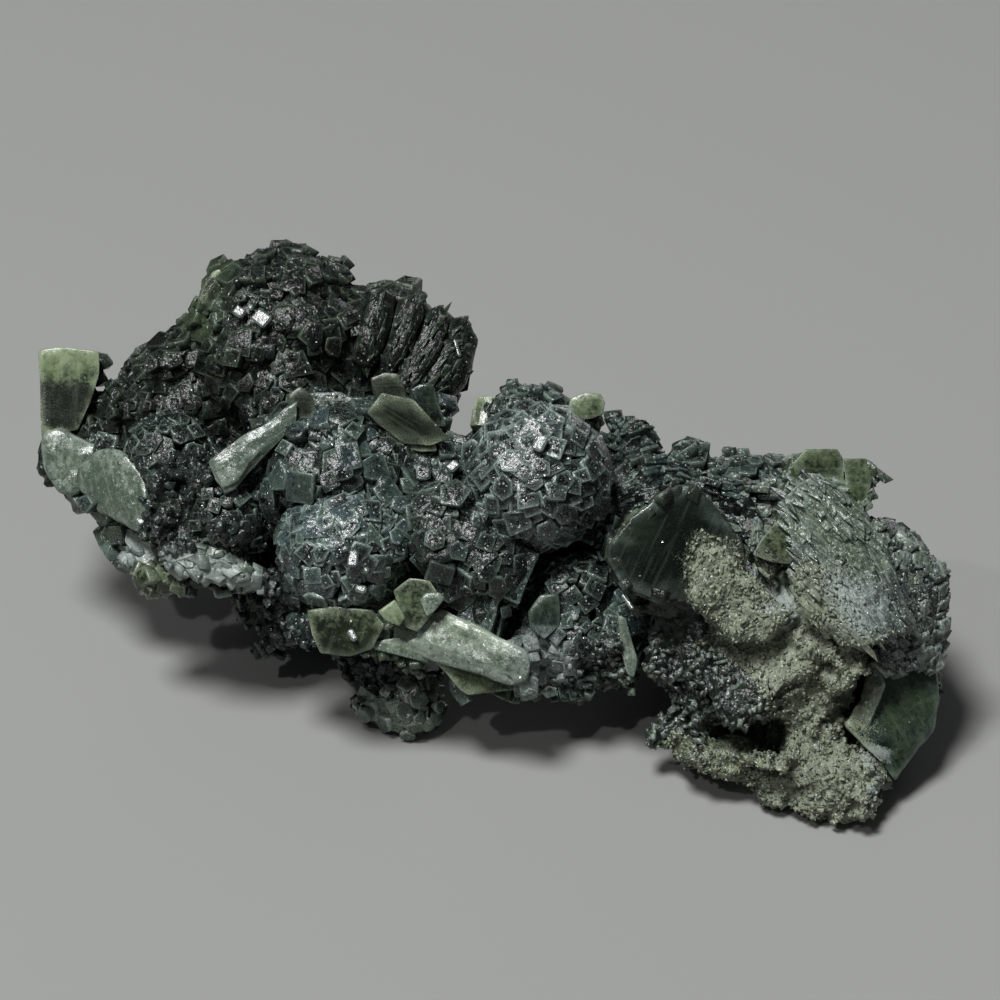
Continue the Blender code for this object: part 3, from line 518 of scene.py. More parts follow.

# %% [markdown]
# ## Slabs with drawn outlines
#
# The odd-shaped and broken crystals are thick slabs. Each outline is drawn as it appears
# from the best side, in millimetres right of and above the middle of the view. `toward` is
# how far in front of LOOK_AT the face lies, and `slope` is how much nearer it comes per
# millimetre to the right and upward. `bulge` raises its middle, `uneven` roughens it,
# `fibres` run along its length, `tone` is its shade from the bottom to the top, and `rim`
# is the width of its pale edge.
#
# The glassy dome, the grey blocks beside it and the fan at the right end are broken pieces
# of much larger crystals. The ribs at the rear are blades seen from their ends.

# %% Slabs
SLAB = dict(
    finish="pale", slope=(0, 0), thick=3, bulge=0.1, bevel=0.16, uneven=0.07, fibres=(1, 0, 0),
    tone=(0.2, 0.6), rim=0.6,
)
REAR_BLADE = dict(finish="deep", thick=8, bulge=1, bevel=0.5, uneven=0.3)
GREY_BLOCK = dict(finish="grey", thick=8, bulge=0.3, bevel=0.3)
SLABS = {
    "dome": dict(
        finish="glassy", toward=6, slope=(-0.1, 0.12), thick=6, bulge=0.3, bevel=0.6, uneven=0.16,
        fibres=(0.5, 1, 0.3), tone=(-0.8, -0.4), rim=2,
        outline=[
            (11.4, -5.5), (13.4, -2.6), (16.4, 0), (18.4, 1.4), (21, 1.8), (23.2, 0), (25.8, -3.3),
            (27.2, -6.6), (24.7, -9.9), (20.8, -11), (17, -11.2), (13.2, -9.6),
        ],
    ),
    "crust_tongue": dict(
        finish="crust", toward=5.7, slope=(-0.1, 0.12), thick=5, bulge=0.3, bevel=0.5, uneven=0.7,
        fibres=(0.5, 1, 0.3), tone=(0, 0.5), rim=0.3,
        outline=[
            (22.1, -4.2), (24.3, -5.3), (26.3, -8.2), (29.6, -9.9), (31.6, -12.1), (29.6, -15.3),
            (25.2, -15.3), (21.9, -12.6), (20.6, -11), (21.2, -8.2),
        ],
    ),
    "glassy_fin": dict(
        finish="white", toward=-1.4, slope=(0.5, 0), bulge=0.3, bevel=0.3, uneven=0.3, fibres=(-0.4, 1, 0),
        tone=(-0.4, 0.3),
        outline=[
            (40.1, -19.3), (41.6, -18.9), (42.3, -20.2), (41.6, -22.5), (40.3, -25.2), (39.2, -26.1),
            (38.6, -25), (39.7, -22.6),
        ],
    ),
    "glassy_fan": dict(
        finish="glassy", toward=-2.6, slope=(-0.3, -0.2), thick=9, bulge=0.3, bevel=0.35, uneven=0.4,
        fibres=(-0.5, 1, 0.2), tone=(0.45, 0.85),
        outline=[
            (40, -20.8), (41.7, -19.2), (44.9, -18.3), (47.9, -19), (48.2, -21.9), (47.6, -25.2),
            (46.1, -26.9), (44.6, -29.2), (43.3, -30.9), (41.6, -29), (39.7, -26.9), (37.8, -24.7),
        ],
    ),
    "far_left_cap": dict(
        toward=-19, thick=6, uneven=0.1, fibres=(0, 1, 0),
        tone=(0.5, 0, -0.5, -0.8, -0.6, -0.1, 0.5, 0.9, 1, 1),
        outline=[
            (-50.6, 16.4), (-48.2, 16.8), (-43.9, 16.3), (-43.9, 13.7), (-44.9, 10.6), (-46.2, 7.7),
            (-50.3, 6.9),
        ],
    ),
    "far_left_base": dict(
        finish="white", toward=-18.6, thick=6, bulge=0.4, bevel=0.4, uneven=0.25, fibres=(0, 1, 0),
        tone=(0.1, 0.4, 0.1),
        outline=[
            (-50.3, 7.3), (-48.5, 8), (-46, 6.6), (-43, 5.4), (-44.5, 2), (-46.6, 0.4), (-48.4, 0.9),
            (-50, 3.3),
        ],
    ),
    "pale_fan": dict(
        finish="white", toward=-14.8, slope=(0.7, 0), thick=6, bulge=0.6, bevel=0.5, uneven=0.4,
        fibres=(-0.45, 1, 0.2), tone=(0.1, 0, 0.3),
        outline=[
            (-46.6, 3.7), (-43.9, 5.6), (-41.6, 5.6), (-40.2, 4.3), (-38.7, 2.2), (-38.3, -0.3), (-39.5, -4),
            (-43.9, -1.5), (-46.2, 1.4),
        ],
    ),
    "rear_green_edge": dict(
        toward=-17, thick=4, bevel=0.5, fibres=(0.4, 1, 0), tone=(-0.1, 0.3),
        outline=[
            (-33.4, 20.6), (-32.9, 23), (-31.6, 25), (-30.5, 25.6), (-29.8, 23.6), (-31.1, 21.4), (-32, 20),
        ],
    ),
    "rear_blade_a": dict(
        REAR_BLADE, toward=-14, slope=(-0.3, -0.1), fibres=(0.2, 1, 0), tone=(-0.6, -0.1),
        outline=[(-16.4, 15), (-14.8, 21.9), (-12.8, 23.4), (-11.2, 22.4), (-11.8, 18.6), (-14, 14)],
    ),
    "rear_blade_b": dict(
        REAR_BLADE, toward=-14.6, slope=(0.3, -0.2), fibres=(0.4, 1, 0), tone=(-0.6, 0),
        outline=[
            (-14, 14), (-11.9, 18.6), (-11.2, 22.2), (-8.9, 22.3), (-8.3, 20.3), (-9.6, 17), (-12.1, 12.6),
        ],
    ),
    "rear_blade_c": dict(
        REAR_BLADE, toward=-14.8, slope=(0.1, -0.35), bulge=0.6, uneven=0.25, fibres=(0.5, 1, 0),
        tone=(-0.5, 0.3),
        outline=[
            (-12, 12.6), (-9.7, 17), (-8.4, 20.6), (-6.2, 21.6), (-5.5, 19.5), (-6.6, 15.6), (-9.4, 11.6),
        ],
    ),
    "rear_blade_d": dict(
        REAR_BLADE, toward=-15.8, slope=(-0.5, -0.2), bulge=0.9, bevel=0.6, fibres=(0.7, 1, 0),
        tone=(-0.5, 0.2),
        outline=[
            (-9.4, 11.6), (-6.7, 15.6), (-5.6, 20), (-3.6, 20.2), (-2.3, 17.6), (-3, 14.4), (-4.6, 11.4),
            (-6.8, 10.4),
        ],
    ),
    "green_ramp": dict(
        finish="white", toward=-3.6, bulge=0.35, uneven=0.3, fibres=(0.8, 0.55, 0), tone=(0.1, -0.1, -0.5),
        outline=[
            (-32, 4.2), (-30.5, 5.5), (-26.1, 7.6), (-22.1, 11), (-22.4, 8.2), (-25.2, 4.9), (-29, 1.4),
            (-30.1, 0.7), (-31.1, 2.2),
        ],
    ),
    "ramp_tongue": dict(
        finish="white", toward=-3, thick=2, bulge=0.15, uneven=0.2, fibres=(0.7, 0.6, 0), tone=(0.4, 0.2, 0),
        outline=[(-31.4, 4), (-28.2, 6), (-26.2, 5.4), (-28.8, 2), (-30.4, 1.3)],
    ),
    "small_cube": dict(
        toward=-4.6, thick=3.4, tone=(-0.8, -0.4), rim=0.9,
        outline=[
            (-23.3, 11.6), (-21.9, 12.5), (-20.6, 11.4), (-19.9, 9.4), (-21, 8.7), (-22.1, 8.7),
            (-22.9, 10.1),
        ],
    ),
    "crown_plate": dict(
        finish="grey", toward=-6, bulge=0.15, tone=(0.1, 0.4),
        outline=[(-21, 11.7), (-17.5, 11.9), (-15.3, 10.7), (-18.1, 9.3), (-20.5, 9.2)],
    ),
    "crown_tablet_a": dict(
        toward=-7.4, thick=3.6, tone=(-0.8, -0.4), rim=1,
        outline=[
            (-14.2, 13.4), (-12.6, 14), (-11.2, 13.9), (-10.4, 12.3), (-10.1, 10.8), (-13.4, 10.6),
            (-14, 11.8),
        ],
    ),
    "crown_tablet_b": dict(
        toward=-4.4, slope=(0, 0.1), thick=2.8, fibres=(0.8, -0.5, 0), tone=(-0.7, -0.5, -0.2), rim=1.2,
        outline=[
            (-14.6, 9.6), (-13, 11.8), (-9.4, 11), (-7.4, 8.9), (-5.5, 6.7), (-7.5, 5.9), (-10.5, 6.1),
            (-13.6, 8.4),
        ],
    ),
    "crown_tablet_under": dict(
        toward=-5.2, thick=2, tone=(0.1, 0.3),
        outline=[(-13, 7.6), (-11.6, 5.9), (-8.6, 5.2), (-6.8, 5.3), (-7.4, 7.4)],
    ),
    "crown_tablet_c": dict(
        finish="glassy", toward=-8.9, tone=(0.1, 0.7), rim=0.3,
        outline=[(-9.9, 12.1), (-8.8, 12.7), (-7.3, 12.7), (-6.8, 11), (-5.8, 8), (-7.7, 8), (-9.3, 10.7)],
    ),
    "summit_block": dict(
        toward=-6.6, thick=3.6, bulge=0.15,
        outline=[
            (7.2, 9.6), (7.7, 11.2), (9.3, 11.8), (11, 11.7), (11.5, 10.7), (11.3, 9.3), (9.9, 8.8),
            (7.9, 8.8),
        ],
    ),
    "green_block_a": dict(
        toward=-5, slope=(-0.1, 0.15), thick=5, tone=(0.1, 0.45),
        outline=[(32, 4), (33.5, 5.6), (37, 5.6), (37.6, 4.6), (37.8, 2.2), (35.1, 2.4), (32.6, 2)],
    ),
    "green_block_b": dict(
        toward=-4.6, slope=(-0.2, 0.1), thick=5, tone=(0.1, 0.4),
        outline=[(37.6, 4.6), (40.1, 4.6), (40.8, 2.4), (40.4, 0), (39.2, -0.9), (37.9, 1.3)],
    ),
    "green_triangle": dict(
        toward=4.6, slope=(-0.2, -0.3), thick=4, tone=(0.1, 0.35),
        outline=[
            (27.6, -6), (28.5, -4.4), (30.4, -2.2), (31.2, -2), (32.9, -3.8), (32.6, -6), (31.8, -7.1),
            (29.6, -6.8),
        ],
    ),
    "block_right": dict(
        GREY_BLOCK, toward=3, slope=(-0.35, -0.15), uneven=0.3, fibres=(1, -1.1, 0), tone=(0, 0.6),
        outline=[
            (34.5, 3.1), (36.7, 1.6), (38.9, 0), (42.2, -4.9), (45.7, -14.2), (43.5, -14.8), (40, -8),
            (35.5, -1.5),
        ],
    ),
    "block_middle": dict(
        GREY_BLOCK, toward=4.4, slope=(-0.3, -0.2), uneven=0.35, fibres=(1, -1, 0), tone=(0.1, 0.7),
        outline=[
            (31, 0.3), (32.9, 2.2), (34.5, 2.7), (38.4, -2), (42.4, -9), (43.2, -14.8), (39.7, -16.2),
            (36, -12), (31.9, -5),
        ],
    ),
    "block_left": dict(
        GREY_BLOCK, toward=5.2, slope=(-0.1, -0.1), thick=7, bulge=0.4, uneven=0.4, fibres=(1, -1, 0),
        tone=(0.2, 0.8),
        outline=[
            (32.2, -6.4), (34.2, -6.8), (37.6, -11), (39.6, -15.6), (37.3, -15.9), (34.5, -13.7), (32.6, -11),
        ],
    ),
    "flank_mass": dict(
        finish="dark", toward=-1.6, slope=(-0.35, 0.1), thick=8, bulge=1.2, bevel=0.7, uneven=0.6,
        fibres=(-0.4, 1, 0), tone=(-0.2, 0.3), rim=0.3,
        outline=[
            (40.6, -2.2), (44.6, -4), (46.2, -6), (49, -8.2), (48.9, -15), (47.6, -18.2), (41.4, -19.2),
            (40.6, -12),
        ],
    ),
    "white_vein": dict(
        finish="white", toward=-5.7, slope=(-0.1, 0.1), bulge=0.4, bevel=0.4, uneven=0.4, fibres=(1, -0.2, 0),
        tone=(-0.1, 0.7, 0.2),
        outline=[
            (-35.9, -6), (-33.4, -5.3), (-30.6, -6.6), (-28.5, -6.5), (-25.8, -8.3), (-26.4, -9.3),
            (-29.4, -9.4), (-32.9, -8.6), (-35.3, -7.4),
        ],
    ),
    "front_green": dict(
        toward=-2.2, slope=(0.15, 0.1), thick=3.6, bulge=0.2, fibres=(0.3, 1, 0), tone=(-0.3, 0.4),
        outline=[
            (-21.2, -12.1), (-18.6, -11.6), (-14, -12), (-12.6, -13.7), (-14, -16.4), (-16.4, -17.2),
            (-19.7, -16.8), (-20.6, -14.8),
        ],
    ),
    "front_block": dict(
        toward=-0.8, slope=(0.1, 0.1), thick=3.6, bulge=0.15, tone=(0, 0.35),
        outline=[
            (-11.8, -9.9), (-9.9, -8.5), (-7.7, -8.8), (-6.6, -10.4), (-7.1, -12.1), (-9, -14.5),
            (-10.4, -14),
        ],
    ),
    "front_cube": dict(
        finish="white", toward=0.2, thick=2.6, tone=(0.1, 0.5),
        outline=[(-8.8, -11), (-8.2, -10.2), (-6.6, -10.1), (-6, -10.7), (-7.1, -12.1), (-8, -12.8)],
    ),
    "front_plate": dict(
        toward=-0.2, thick=1.6, fibres=(1, -1, 0), tone=(0.4, 0.9),
        outline=[(-13.4, -12.2), (-11.5, -10.8), (-10.3, -12.9), (-11, -13.9), (-12.6, -13.2)],
    ),
    "mint_ledge": dict(
        finish="white", toward=-1.3, slope=(0.2, 0), thick=4, bulge=0.5, bevel=0.5, uneven=0.35,
        fibres=(1, -0.32, 0), tone=(0.1, 1),
        outline=[
            (-11.5, -15.3), (-8.8, -14.2), (-6.5, -11.7), (-4.2, -12.6), (0.5, -15.5), (3, -16.4), (3.6, -18),
            (3, -19.9), (1.6, -20.4), (-3.3, -18.4), (-9.9, -17),
        ],
    ),
    "mint_edge": dict(
        finish="white", toward=-2.6, thick=2, fibres=(1, -0.25, 0), tone=(0.1, 0.6),
        outline=[(-14.6, -15.6), (-11, -15), (-7.7, -16.6), (-7.9, -17.9), (-11, -17.2), (-13.7, -16.4)],
    ),
    "mint_under": dict(
        toward=-3.4, bulge=0.15, fibres=(1, -0.4, 0),
        outline=[
            (-7.7, -17), (-6, -18.6), (-4.4, -20.8), (-3.5, -21.4), (-2.2, -20.5), (1.6, -20.8), (0, -18.5),
        ],
    ),
    "pale_blade": dict(
        finish="white", toward=-3.2, thick=2, fibres=(0.2, -1, 0), tone=(0.1, 0.5),
        outline=[
            (12.9, -12.6), (13.8, -12.9), (14.6, -15.3), (15.1, -17.5), (14.7, -19.5), (14, -19.2),
            (13.2, -16.4),
        ],
    ),
    "low_green": dict(
        finish="glassy", toward=-2.4, bulge=0.15, fibres=(0.3, 1, 0), tone=(0.3, 0.8),
        outline=[
            (3, -12.3), (4.4, -10.4), (6.4, -10.2), (6.6, -11.2), (6.6, -13.7), (4.9, -15.3), (3.3, -14.2),
        ],
    ),
}
SLABS = {name: {**SLAB, **slab} for name, slab in SLABS.items()}
print("slabs", len(SLABS), "with", sum(len(slab["outline"]) for slab in SLABS.values()), "corners")

# %% [markdown]
# ## From an outline to a place
#
# An outline drawn in the view says where a crystal appears. Its distance from the eye is
# chosen, and together they give its place. The same sum backwards tells which points of
# the mass lie behind a slab, so that nothing small grows through it.

# %% Outlines and places
NOT_OVER, OVER = -9.0, -8.0


def seen(right, up, toward):
    """The layout point that appears this far right of and above LOOK_AT, and is this far in front of it."""
    nearer = (VIEW_DISTANCE - toward) / VIEW_DISTANCE
    return LOOK_AT + (RIGHT * (right * nearer) + UP * (up * nearer) + TOWARD * toward)


def slab_corners(toward, slope, thick, bulge, outline):
    """The front and back corners of a slab, and a few raised points inside its front."""
    middle = np.mean(outline, axis=0)
    corners = []
    for share, drop in ((1.0, 0.0), (0.55, -bulge), (0.8, thick)):
        for right, up in (np.array(outline) - middle) * share + middle:
            depth = toward + (right - middle[0]) * slope[0] + (up - middle[1]) * slope[1]
            corners.append(seen(right, up, depth - drop))
    return np.array(corners)


def sides_of(outline):
    return zip(outline, np.roll(outline, -1, axis=0))


def inside_outline(across, outline):
    """Which points of a plane lie inside a closed outline, by counting the sides to their right."""
    odd = np.zeros(len(across), bool)
    for (x0, y0), (x1, y1) in sides_of(outline):
        crosses = (y0 > across[:, 1]) != (y1 > across[:, 1])
        odd ^= crosses & (across[:, 0] < (x1 - x0) * (across[:, 1] - y0) / (y1 - y0 + 1e-9) + x0)
    return odd


def edge_gap(across, outline):
    """How far each point of a plane is from the nearest side of a closed outline."""
    gap = np.full(len(across), 99.0)
    for start, end in sides_of(outline):
        side = end - start
        share = np.clip((across - start) @ side / (side @ side), 0, 1)
        gap = np.minimum(gap, np.linalg.norm(across - start - share[:, None] * side, axis=1))
    return gap


def as_seen(spots):
    """Where spots appear, right of and above LOOK_AT, and how far each is in front of it."""
    local = (spots - np.array(LOOK_AT)) @ np.array([RIGHT, UP, TOWARD]).T
    return local[:, :2] * (VIEW_DISTANCE / (VIEW_DISTANCE - local[:, 2:])), local[:, 2]


def over_slabs(spots, grow_by, in_front):
    """How far each spot stands in front of the slab that it would hide, or NOT_OVER."""
    appears, toward = as_seen(spots)
    over = np.full(len(spots), NOT_OVER)
    for slab in SLABS.values():
        outline = np.array(slab["outline"])
        middle = outline.mean(axis=0)
        stands = toward - slab["toward"] - (appears - middle) @ np.array(slab["slope"])
        near = (stands > -slab["thick"]) & (stands < in_front)
        outline = (outline - middle) * (1 + grow_by / np.abs(outline - middle).max()) + middle
        over = np.where(near & inside_outline(appears, outline), np.maximum(over, stands), over)
    return over


print("the middle of the view lies at", [round(v, 1) for v in seen(0, 0, 0)])

# %% [markdown]
# ## The mass under the crystals
#
# A copy of the solid is welded, remeshed into small even squares and smoothed, so that
# the broad crystals melt back into rounded masses. Noise and two sizes of tilted facets
# then roughen it, because even the bare mass is broken crystal. Moats of shadow set off
# the rosettes, a slit and some hollows are pressed in, and a few flat cleavage faces cut
# off what stands above them. Where a slab lies, the mass sinks behind it.

# %% Body
BODY_VOXEL = 0.53
BODY_SMOOTHING = 8
BROAD_SMOOTHING = 70
NORMAL_SMOOTHING = 40
VALLEY_GAIN = 0.45
CRYSTAL_DEPTH = 0.8
SLAB_COVER = 0.8
INSIDE_BOX = 0.02
# Bumps: size, height. Facets: cell size, steepness.
BODY_ROUGHNESS = ((3.4, 0.6), (1.5, 0.4), (0.7, 0.2))
FACETS = ((3.4, 0.42), (1.5, 0.3))
# Each rosette stands in a moat of shadow: centre, radius, how deep.
MOATS = [((-17.2, -4.4, 22.6), 7, 1.6), ((4.2, -0.2, 29), 7.4, 1.8)]
MOAT_WIDTH = 2.2
# Flat cleavage faces, which cut off what stands above them: a point, the way it faces, how far it reaches.
CLEAVED = [((38.4, -12.6, 24.6), (0.25, 0.35, 1), 8.6), ((27, -19, 15.5), (-0.1, 0.2, 1), 5),
           ((46.3, -1.8, 22), (0.6, 0.8, 0), 5.5)]
SLIT = [(23.9, -20.1, 8.6), (25.4, -20.3, 8.6), (26.9, -20.5, 8.7), (28.4, -20.7, 8.8), (30, -20.9, 9)]
# Places pressed in (or, if negative, pulled out): centre, radius, how far in millimetres.
PRESSED = [(centre, 1.4, 4.4) for centre in SLIT] + [
    ((25, -18.5, 15.2), 4.6, -1.7), ((29.6, -18.6, 14.4), 3.2, -1.2), ((27, -19.6, 11.6), 2.4, -2),
    ((11.1, -4, 26.6), 2.6, 2), ((8.3, -4.3, 23.4), 2.6, 2), ((15.2, -16.1, 21.2), 2.6, 2.2),
    ((22.9, -15.7, 20.9), 2.2, 1.8), ((46.2, -3.2, 22.6), 2, 1.6), ((44.5, -10.8, 12.3), 2.4, 2.2),
    ((42.6, -7.4, 11.1), 2.4, 2), ((-29.3, 8.6, 30.8), 3, 2.4), ((-24.9, -6.2, 22), 2.4, 2),
    ((-9.7, -9, 21.4), 2.4, 2), ((2.2, -8.2, 23.5), 2.4, 2.2), ((-4.4, -10.3, 22.3), 2, 1.8),
    ((11.1, -8.3, 18.1), 2.4, 2), ((5, -9.7, 19.1), 1.8, 1.4),
]


def finish_piece(name, mesh, finish):
    """Links a mesh as a piece of the cluster that rides on its one body."""
    piece = in_scene(name, mesh)
    material, slot = FINISHES[finish]
    mesh.materials.append(material)
    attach(piece, "root")
    return piece


def mesh_from(bm, name):
    """The mesh of a bmesh, which is used up."""
    mesh = bpy.data.meshes.new(name)
    bm.to_mesh(mesh)
    bm.free()
    return mesh


def read_points(mesh, of="vertices", field="co"):
    items = getattr(mesh, of)
    values = np.empty(len(items) * 3, np.float32)
    items.foreach_get(field, values)
    return values.reshape(-1, 3).astype(float)


def move_points(mesh, points, smooth=False):
    """Puts a mesh's points at these places of the layout frame."""
    mesh.vertices.foreach_set("co", to_frame(points).reshape(-1).astype(np.float32))
    if smooth:
        mesh.polygons.foreach_set("use_smooth", np.ones(len(mesh.polygons), bool))
    mesh.update()


def in_box(points, margin):
    return np.clip(points, LOW + margin, HIGH - margin)


def spread(mesh, values, rounds):
    """Each point's vector averaged with its neighbours', again and again."""
    ends = np.empty(len(mesh.edges) * 2, np.int32)
    mesh.edges.foreach_get("vertices", ends)
    a, b = ends.reshape(-1, 2).T
    near = np.bincount(a, minlength=len(values)) + np.bincount(b, minlength=len(values)) + 1.0
    for _ in range(rounds):
        total = values.copy()
        for axis in range(3):
            total[:, axis] += np.bincount(a, values[b, axis], len(values))
            total[:, axis] += np.bincount(b, values[a, axis], len(values))
        values = total / near[:, None]
    return values


def remeshed_copy(source, voxel):
    """A copy of a solid's mesh, welded and remeshed into even squares."""
    bm = bmesh.new()
    bm.from_mesh(source.data)
    bmesh.ops.remove_doubles(bm, verts=bm.verts, dist=0.01 * MM)
    helper = in_scene("remesh helper", mesh_from(bm, "welded"))
    modifier = helper.modifiers.new("even squares", "REMESH")
    modifier.mode = "VOXEL"
    modifier.voxel_size = voxel * MM
    bpy.context.view_layer.update()
    graph = bpy.context.evaluated_depsgraph_get()
    even = bpy.data.meshes.new_from_object(helper.evaluated_get(graph), depsgraph=graph)
    bpy.data.objects.remove(helper)
    return even


def search_tree(points):
    tree = KDTree(len(points))
    for index, point in enumerate(points):
        tree.insert(point, index)
    tree.balance()
    return tree


def facets(points, size):
    """How far each point rises on the tilted flat face of the cell it lies in."""
    rng = np.random.default_rng(11)
    count = int(np.prod((HIGH - LOW) / size))
    seeds = rng.uniform(LOW, HIGH, (count, 3))
    tilt = unit(rng.normal(0, 1, (count, 3)))
    tree = search_tree(seeds)
    cell = np.array([tree.find(point)[1] for point in points])
    return np.clip(np.einsum("ij,ij->i", points - seeds[cell], tilt[cell]), -0.6 * size, 0.6 * size)


def cleaved(points):
    """The points with everything above each cleavage face cut off, softly toward its border."""
    for centre, way, reach in CLEAVED:
        way = np.array(best_side(*way))
        above = (points - np.array(centre)) @ way
        inside = np.clip(3.0 - 2.4 * distances(points, centre) / reach, 0, 1)
        points = points - way * (np.maximum(above, 0) * inside)[:, None]
    return points


def make_body():
    mesh = remeshed_copy(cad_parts[NODE], BODY_VOXEL)
    points = to_layout(spread(mesh, read_points(mesh), BODY_SMOOTHING))
    move_points(mesh, points)
    normals = read_points(mesh, "vertices", "normal")
    broad = to_layout(spread(mesh, read_points(mesh), BROAD_SMOOTHING))
    stands_out = np.clip(np.einsum("ij,ij->i", points - broad, normals), -2.0, 1.2)
    push = np.array(
        [sum(noise.noise(Vector(p) / size) * high for size, high in BODY_ROUGHNESS) for p in points]
    )
    push += stands_out * VALLEY_GAIN - CRYSTAL_DEPTH
    for centre, radius, depth in MOATS:
        gap = distances(points, centre) - radius
        push -= depth * np.clip(1.0 - np.abs(gap - 0.5) / MOAT_WIDTH, 0, 1)
    for centre, radius, depth in PRESSED:
        push -= depth * np.clip(1.4 - distances(points, centre) / radius, 0, 1)
    for size, amount in FACETS:
        push += facets(points, size) * amount
    points = cleaved(points + normals * push[:, None])
    hides = np.maximum(over_slabs(points, 0.2, 5.0) + SLAB_COVER, 0)
    points = in_box(points - np.array(TOWARD) * hides[:, None], INSIDE_BOX)
    move_points(mesh, points, smooth=True)
    mesh.name = "body_core"
    # Painted shade and light: the tone is darker in the hollows and lighter where the mass stands out.
    tone = np.clip(0.2 + stands_out * 0.35, -0.4, 0.8)
    write_looks(mesh, points, rim=np.zeros(len(points)), tone=tone, grow=points)
    return finish_piece("body_core", mesh, "deep")


body_core = make_body()
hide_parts(NODE)
print("body", len(body_core.data.polygons), "faces")

# %% [markdown]
# ## Crystal shapes
#
# A tablet is a cone primitive with almost equal ends, its edges bevelled as growth leaves
# them, and its top inset so that the pale rim has somewhere to fade. A cobble is a more
# ragged one, for worn crystals. A grain is a cube pulled out of square. A handful of these
# is enough, because each is used many times at its own size, turn and tone.

# %% Crystal shapes
GRAIN_SIZE = 0.9


def bevel_edges(bm, offset, segments=1):
    bmesh.ops.bevel(
        bm, geom=bm.edges, offset=offset, segments=segments, profile=0.5, affect="EDGES", material=-1,
        clamp_overlap=True,
    )


def tablet_bmesh(
    sides, rng, inset=0.2, taper=0.9, ragged=0.1, dome=0.05, bevel=0.045, far_end=1.0, size=(1, 1, 1)
):
    """A flat prism, one unit or `size` across, that narrows a little toward its foot."""
    bm = bmesh.new()
    bmesh.ops.create_cone(
        bm, cap_ends=True, segments=sides, radius1=taper, radius2=1.0, depth=1.0,
        matrix=Matrix.Rotation(math.pi / sides, 4, "Z"),
    )
    reach = 2 * math.cos(math.pi / sides)
    for vert in bm.verts:
        vert.co.y *= max(1.0 + (far_end - 1.0) * vert.co.x, 0.2)
        vert.co.x += rng.uniform(-ragged, ragged)
        vert.co.y += rng.uniform(-ragged, ragged)
    bmesh.ops.scale(bm, vec=(size[0] / reach, size[1] / reach, size[2]), verts=bm.verts)
    bevel_edges(bm, bevel)
    rim = bm.verts.layers.float.new("rim")
    for vert in bm.verts:
        vert[rim] = 1.0 if vert.co.z > 0 else 0.4
    top = max(bm.faces, key=lambda f: f.normal.z * f.calc_area())
    bmesh.ops.inset_region(bm, faces=[top], thickness=inset, depth=0.0, use_even_offset=True)
    for vert in top.verts:
        vert[rim] = 0.0
        vert.co.z += dome * rng.uniform(-0.6, 1.0) * size[2]
    return bm


def grain_bmesh(rng, ragged=0.3, bevel=0.09):
    """A crystal grain about as wide as it is high, with uneven flat faces."""
    bm = bmesh.new()
    bmesh.ops.create_cube(bm, size=GRAIN_SIZE)
    for vert in bm.verts:
        vert.co += Vector([rng.uniform(-ragged, ragged) for _ in range(3)]) * 0.5
    if bevel:
        bevel_edges(bm, bevel)
    rim = bm.verts.layers.float.new("rim")
    for vert in bm.verts:
        vert[rim] = rng.uniform(0.3, 0.85)
    return bm


class Shape:
    """A small closed mesh as arrays, one unit across, ready to be copied many times."""

    def __init__(self, bm):
        bmesh.ops.recalc_face_normals(bm, faces=bm.faces)
        bm.verts.index_update()
        rim = bm.verts.layers.float["rim"]
        self.co = np.array([v.co for v in bm.verts], float)
        self.rim = np.array([v[rim] for v in bm.verts], float)
        self.corners = np.array([v.index for f in bm.faces for v in f.verts], np.int32)
        self.sizes = np.array([len(f.verts) for f in bm.faces], np.int32)
        bm.free()


shape_rng = random.Random(5)
TABLETS = [Shape(tablet_bmesh(sides, shape_rng)) for sides in (4, 4, 4, 5, 4, 6, 4, 5)]
COBBLES = [
    Shape(tablet_bmesh(sides, shape_rng, inset=0.16, ragged=0.28, dome=0.25, bevel=0.04))
    for sides in (4, 5, 4, 6, 4, 5, 4, 7)
]
GRAINS = [Shape(grain_bmesh(shape_rng)) for _ in range(6)]
SUGAR = [Shape(grain_bmesh(shape_rng, ragged=0.4, bevel=0.0)) for _ in range(6)]
print("shapes", len(TABLETS) + len(COBBLES), "tablets", len(GRAINS) + len(SUGAR), "grains")

# %% [markdown]
# ## Copying a shape thousands of times
#
# Each copy has a place, a turn, a size and a tone. Arrays do the arithmetic for all
# copies at once, and the result is one joined mesh for each region.

# %% Joined copies
GROW_REACH = 60


def turns(face, along):
    """Turn matrices whose X runs along `along` and whose Z looks along `face`."""
    face = unit(face)
    along = unit(along - face * np.einsum("ij,ij->i", along, face)[:, None])
    return np.stack((along, np.cross(face, along), face), axis=2)


def turn_of(face, along):
    return turns(np.array([face]), np.array([along]))[0]


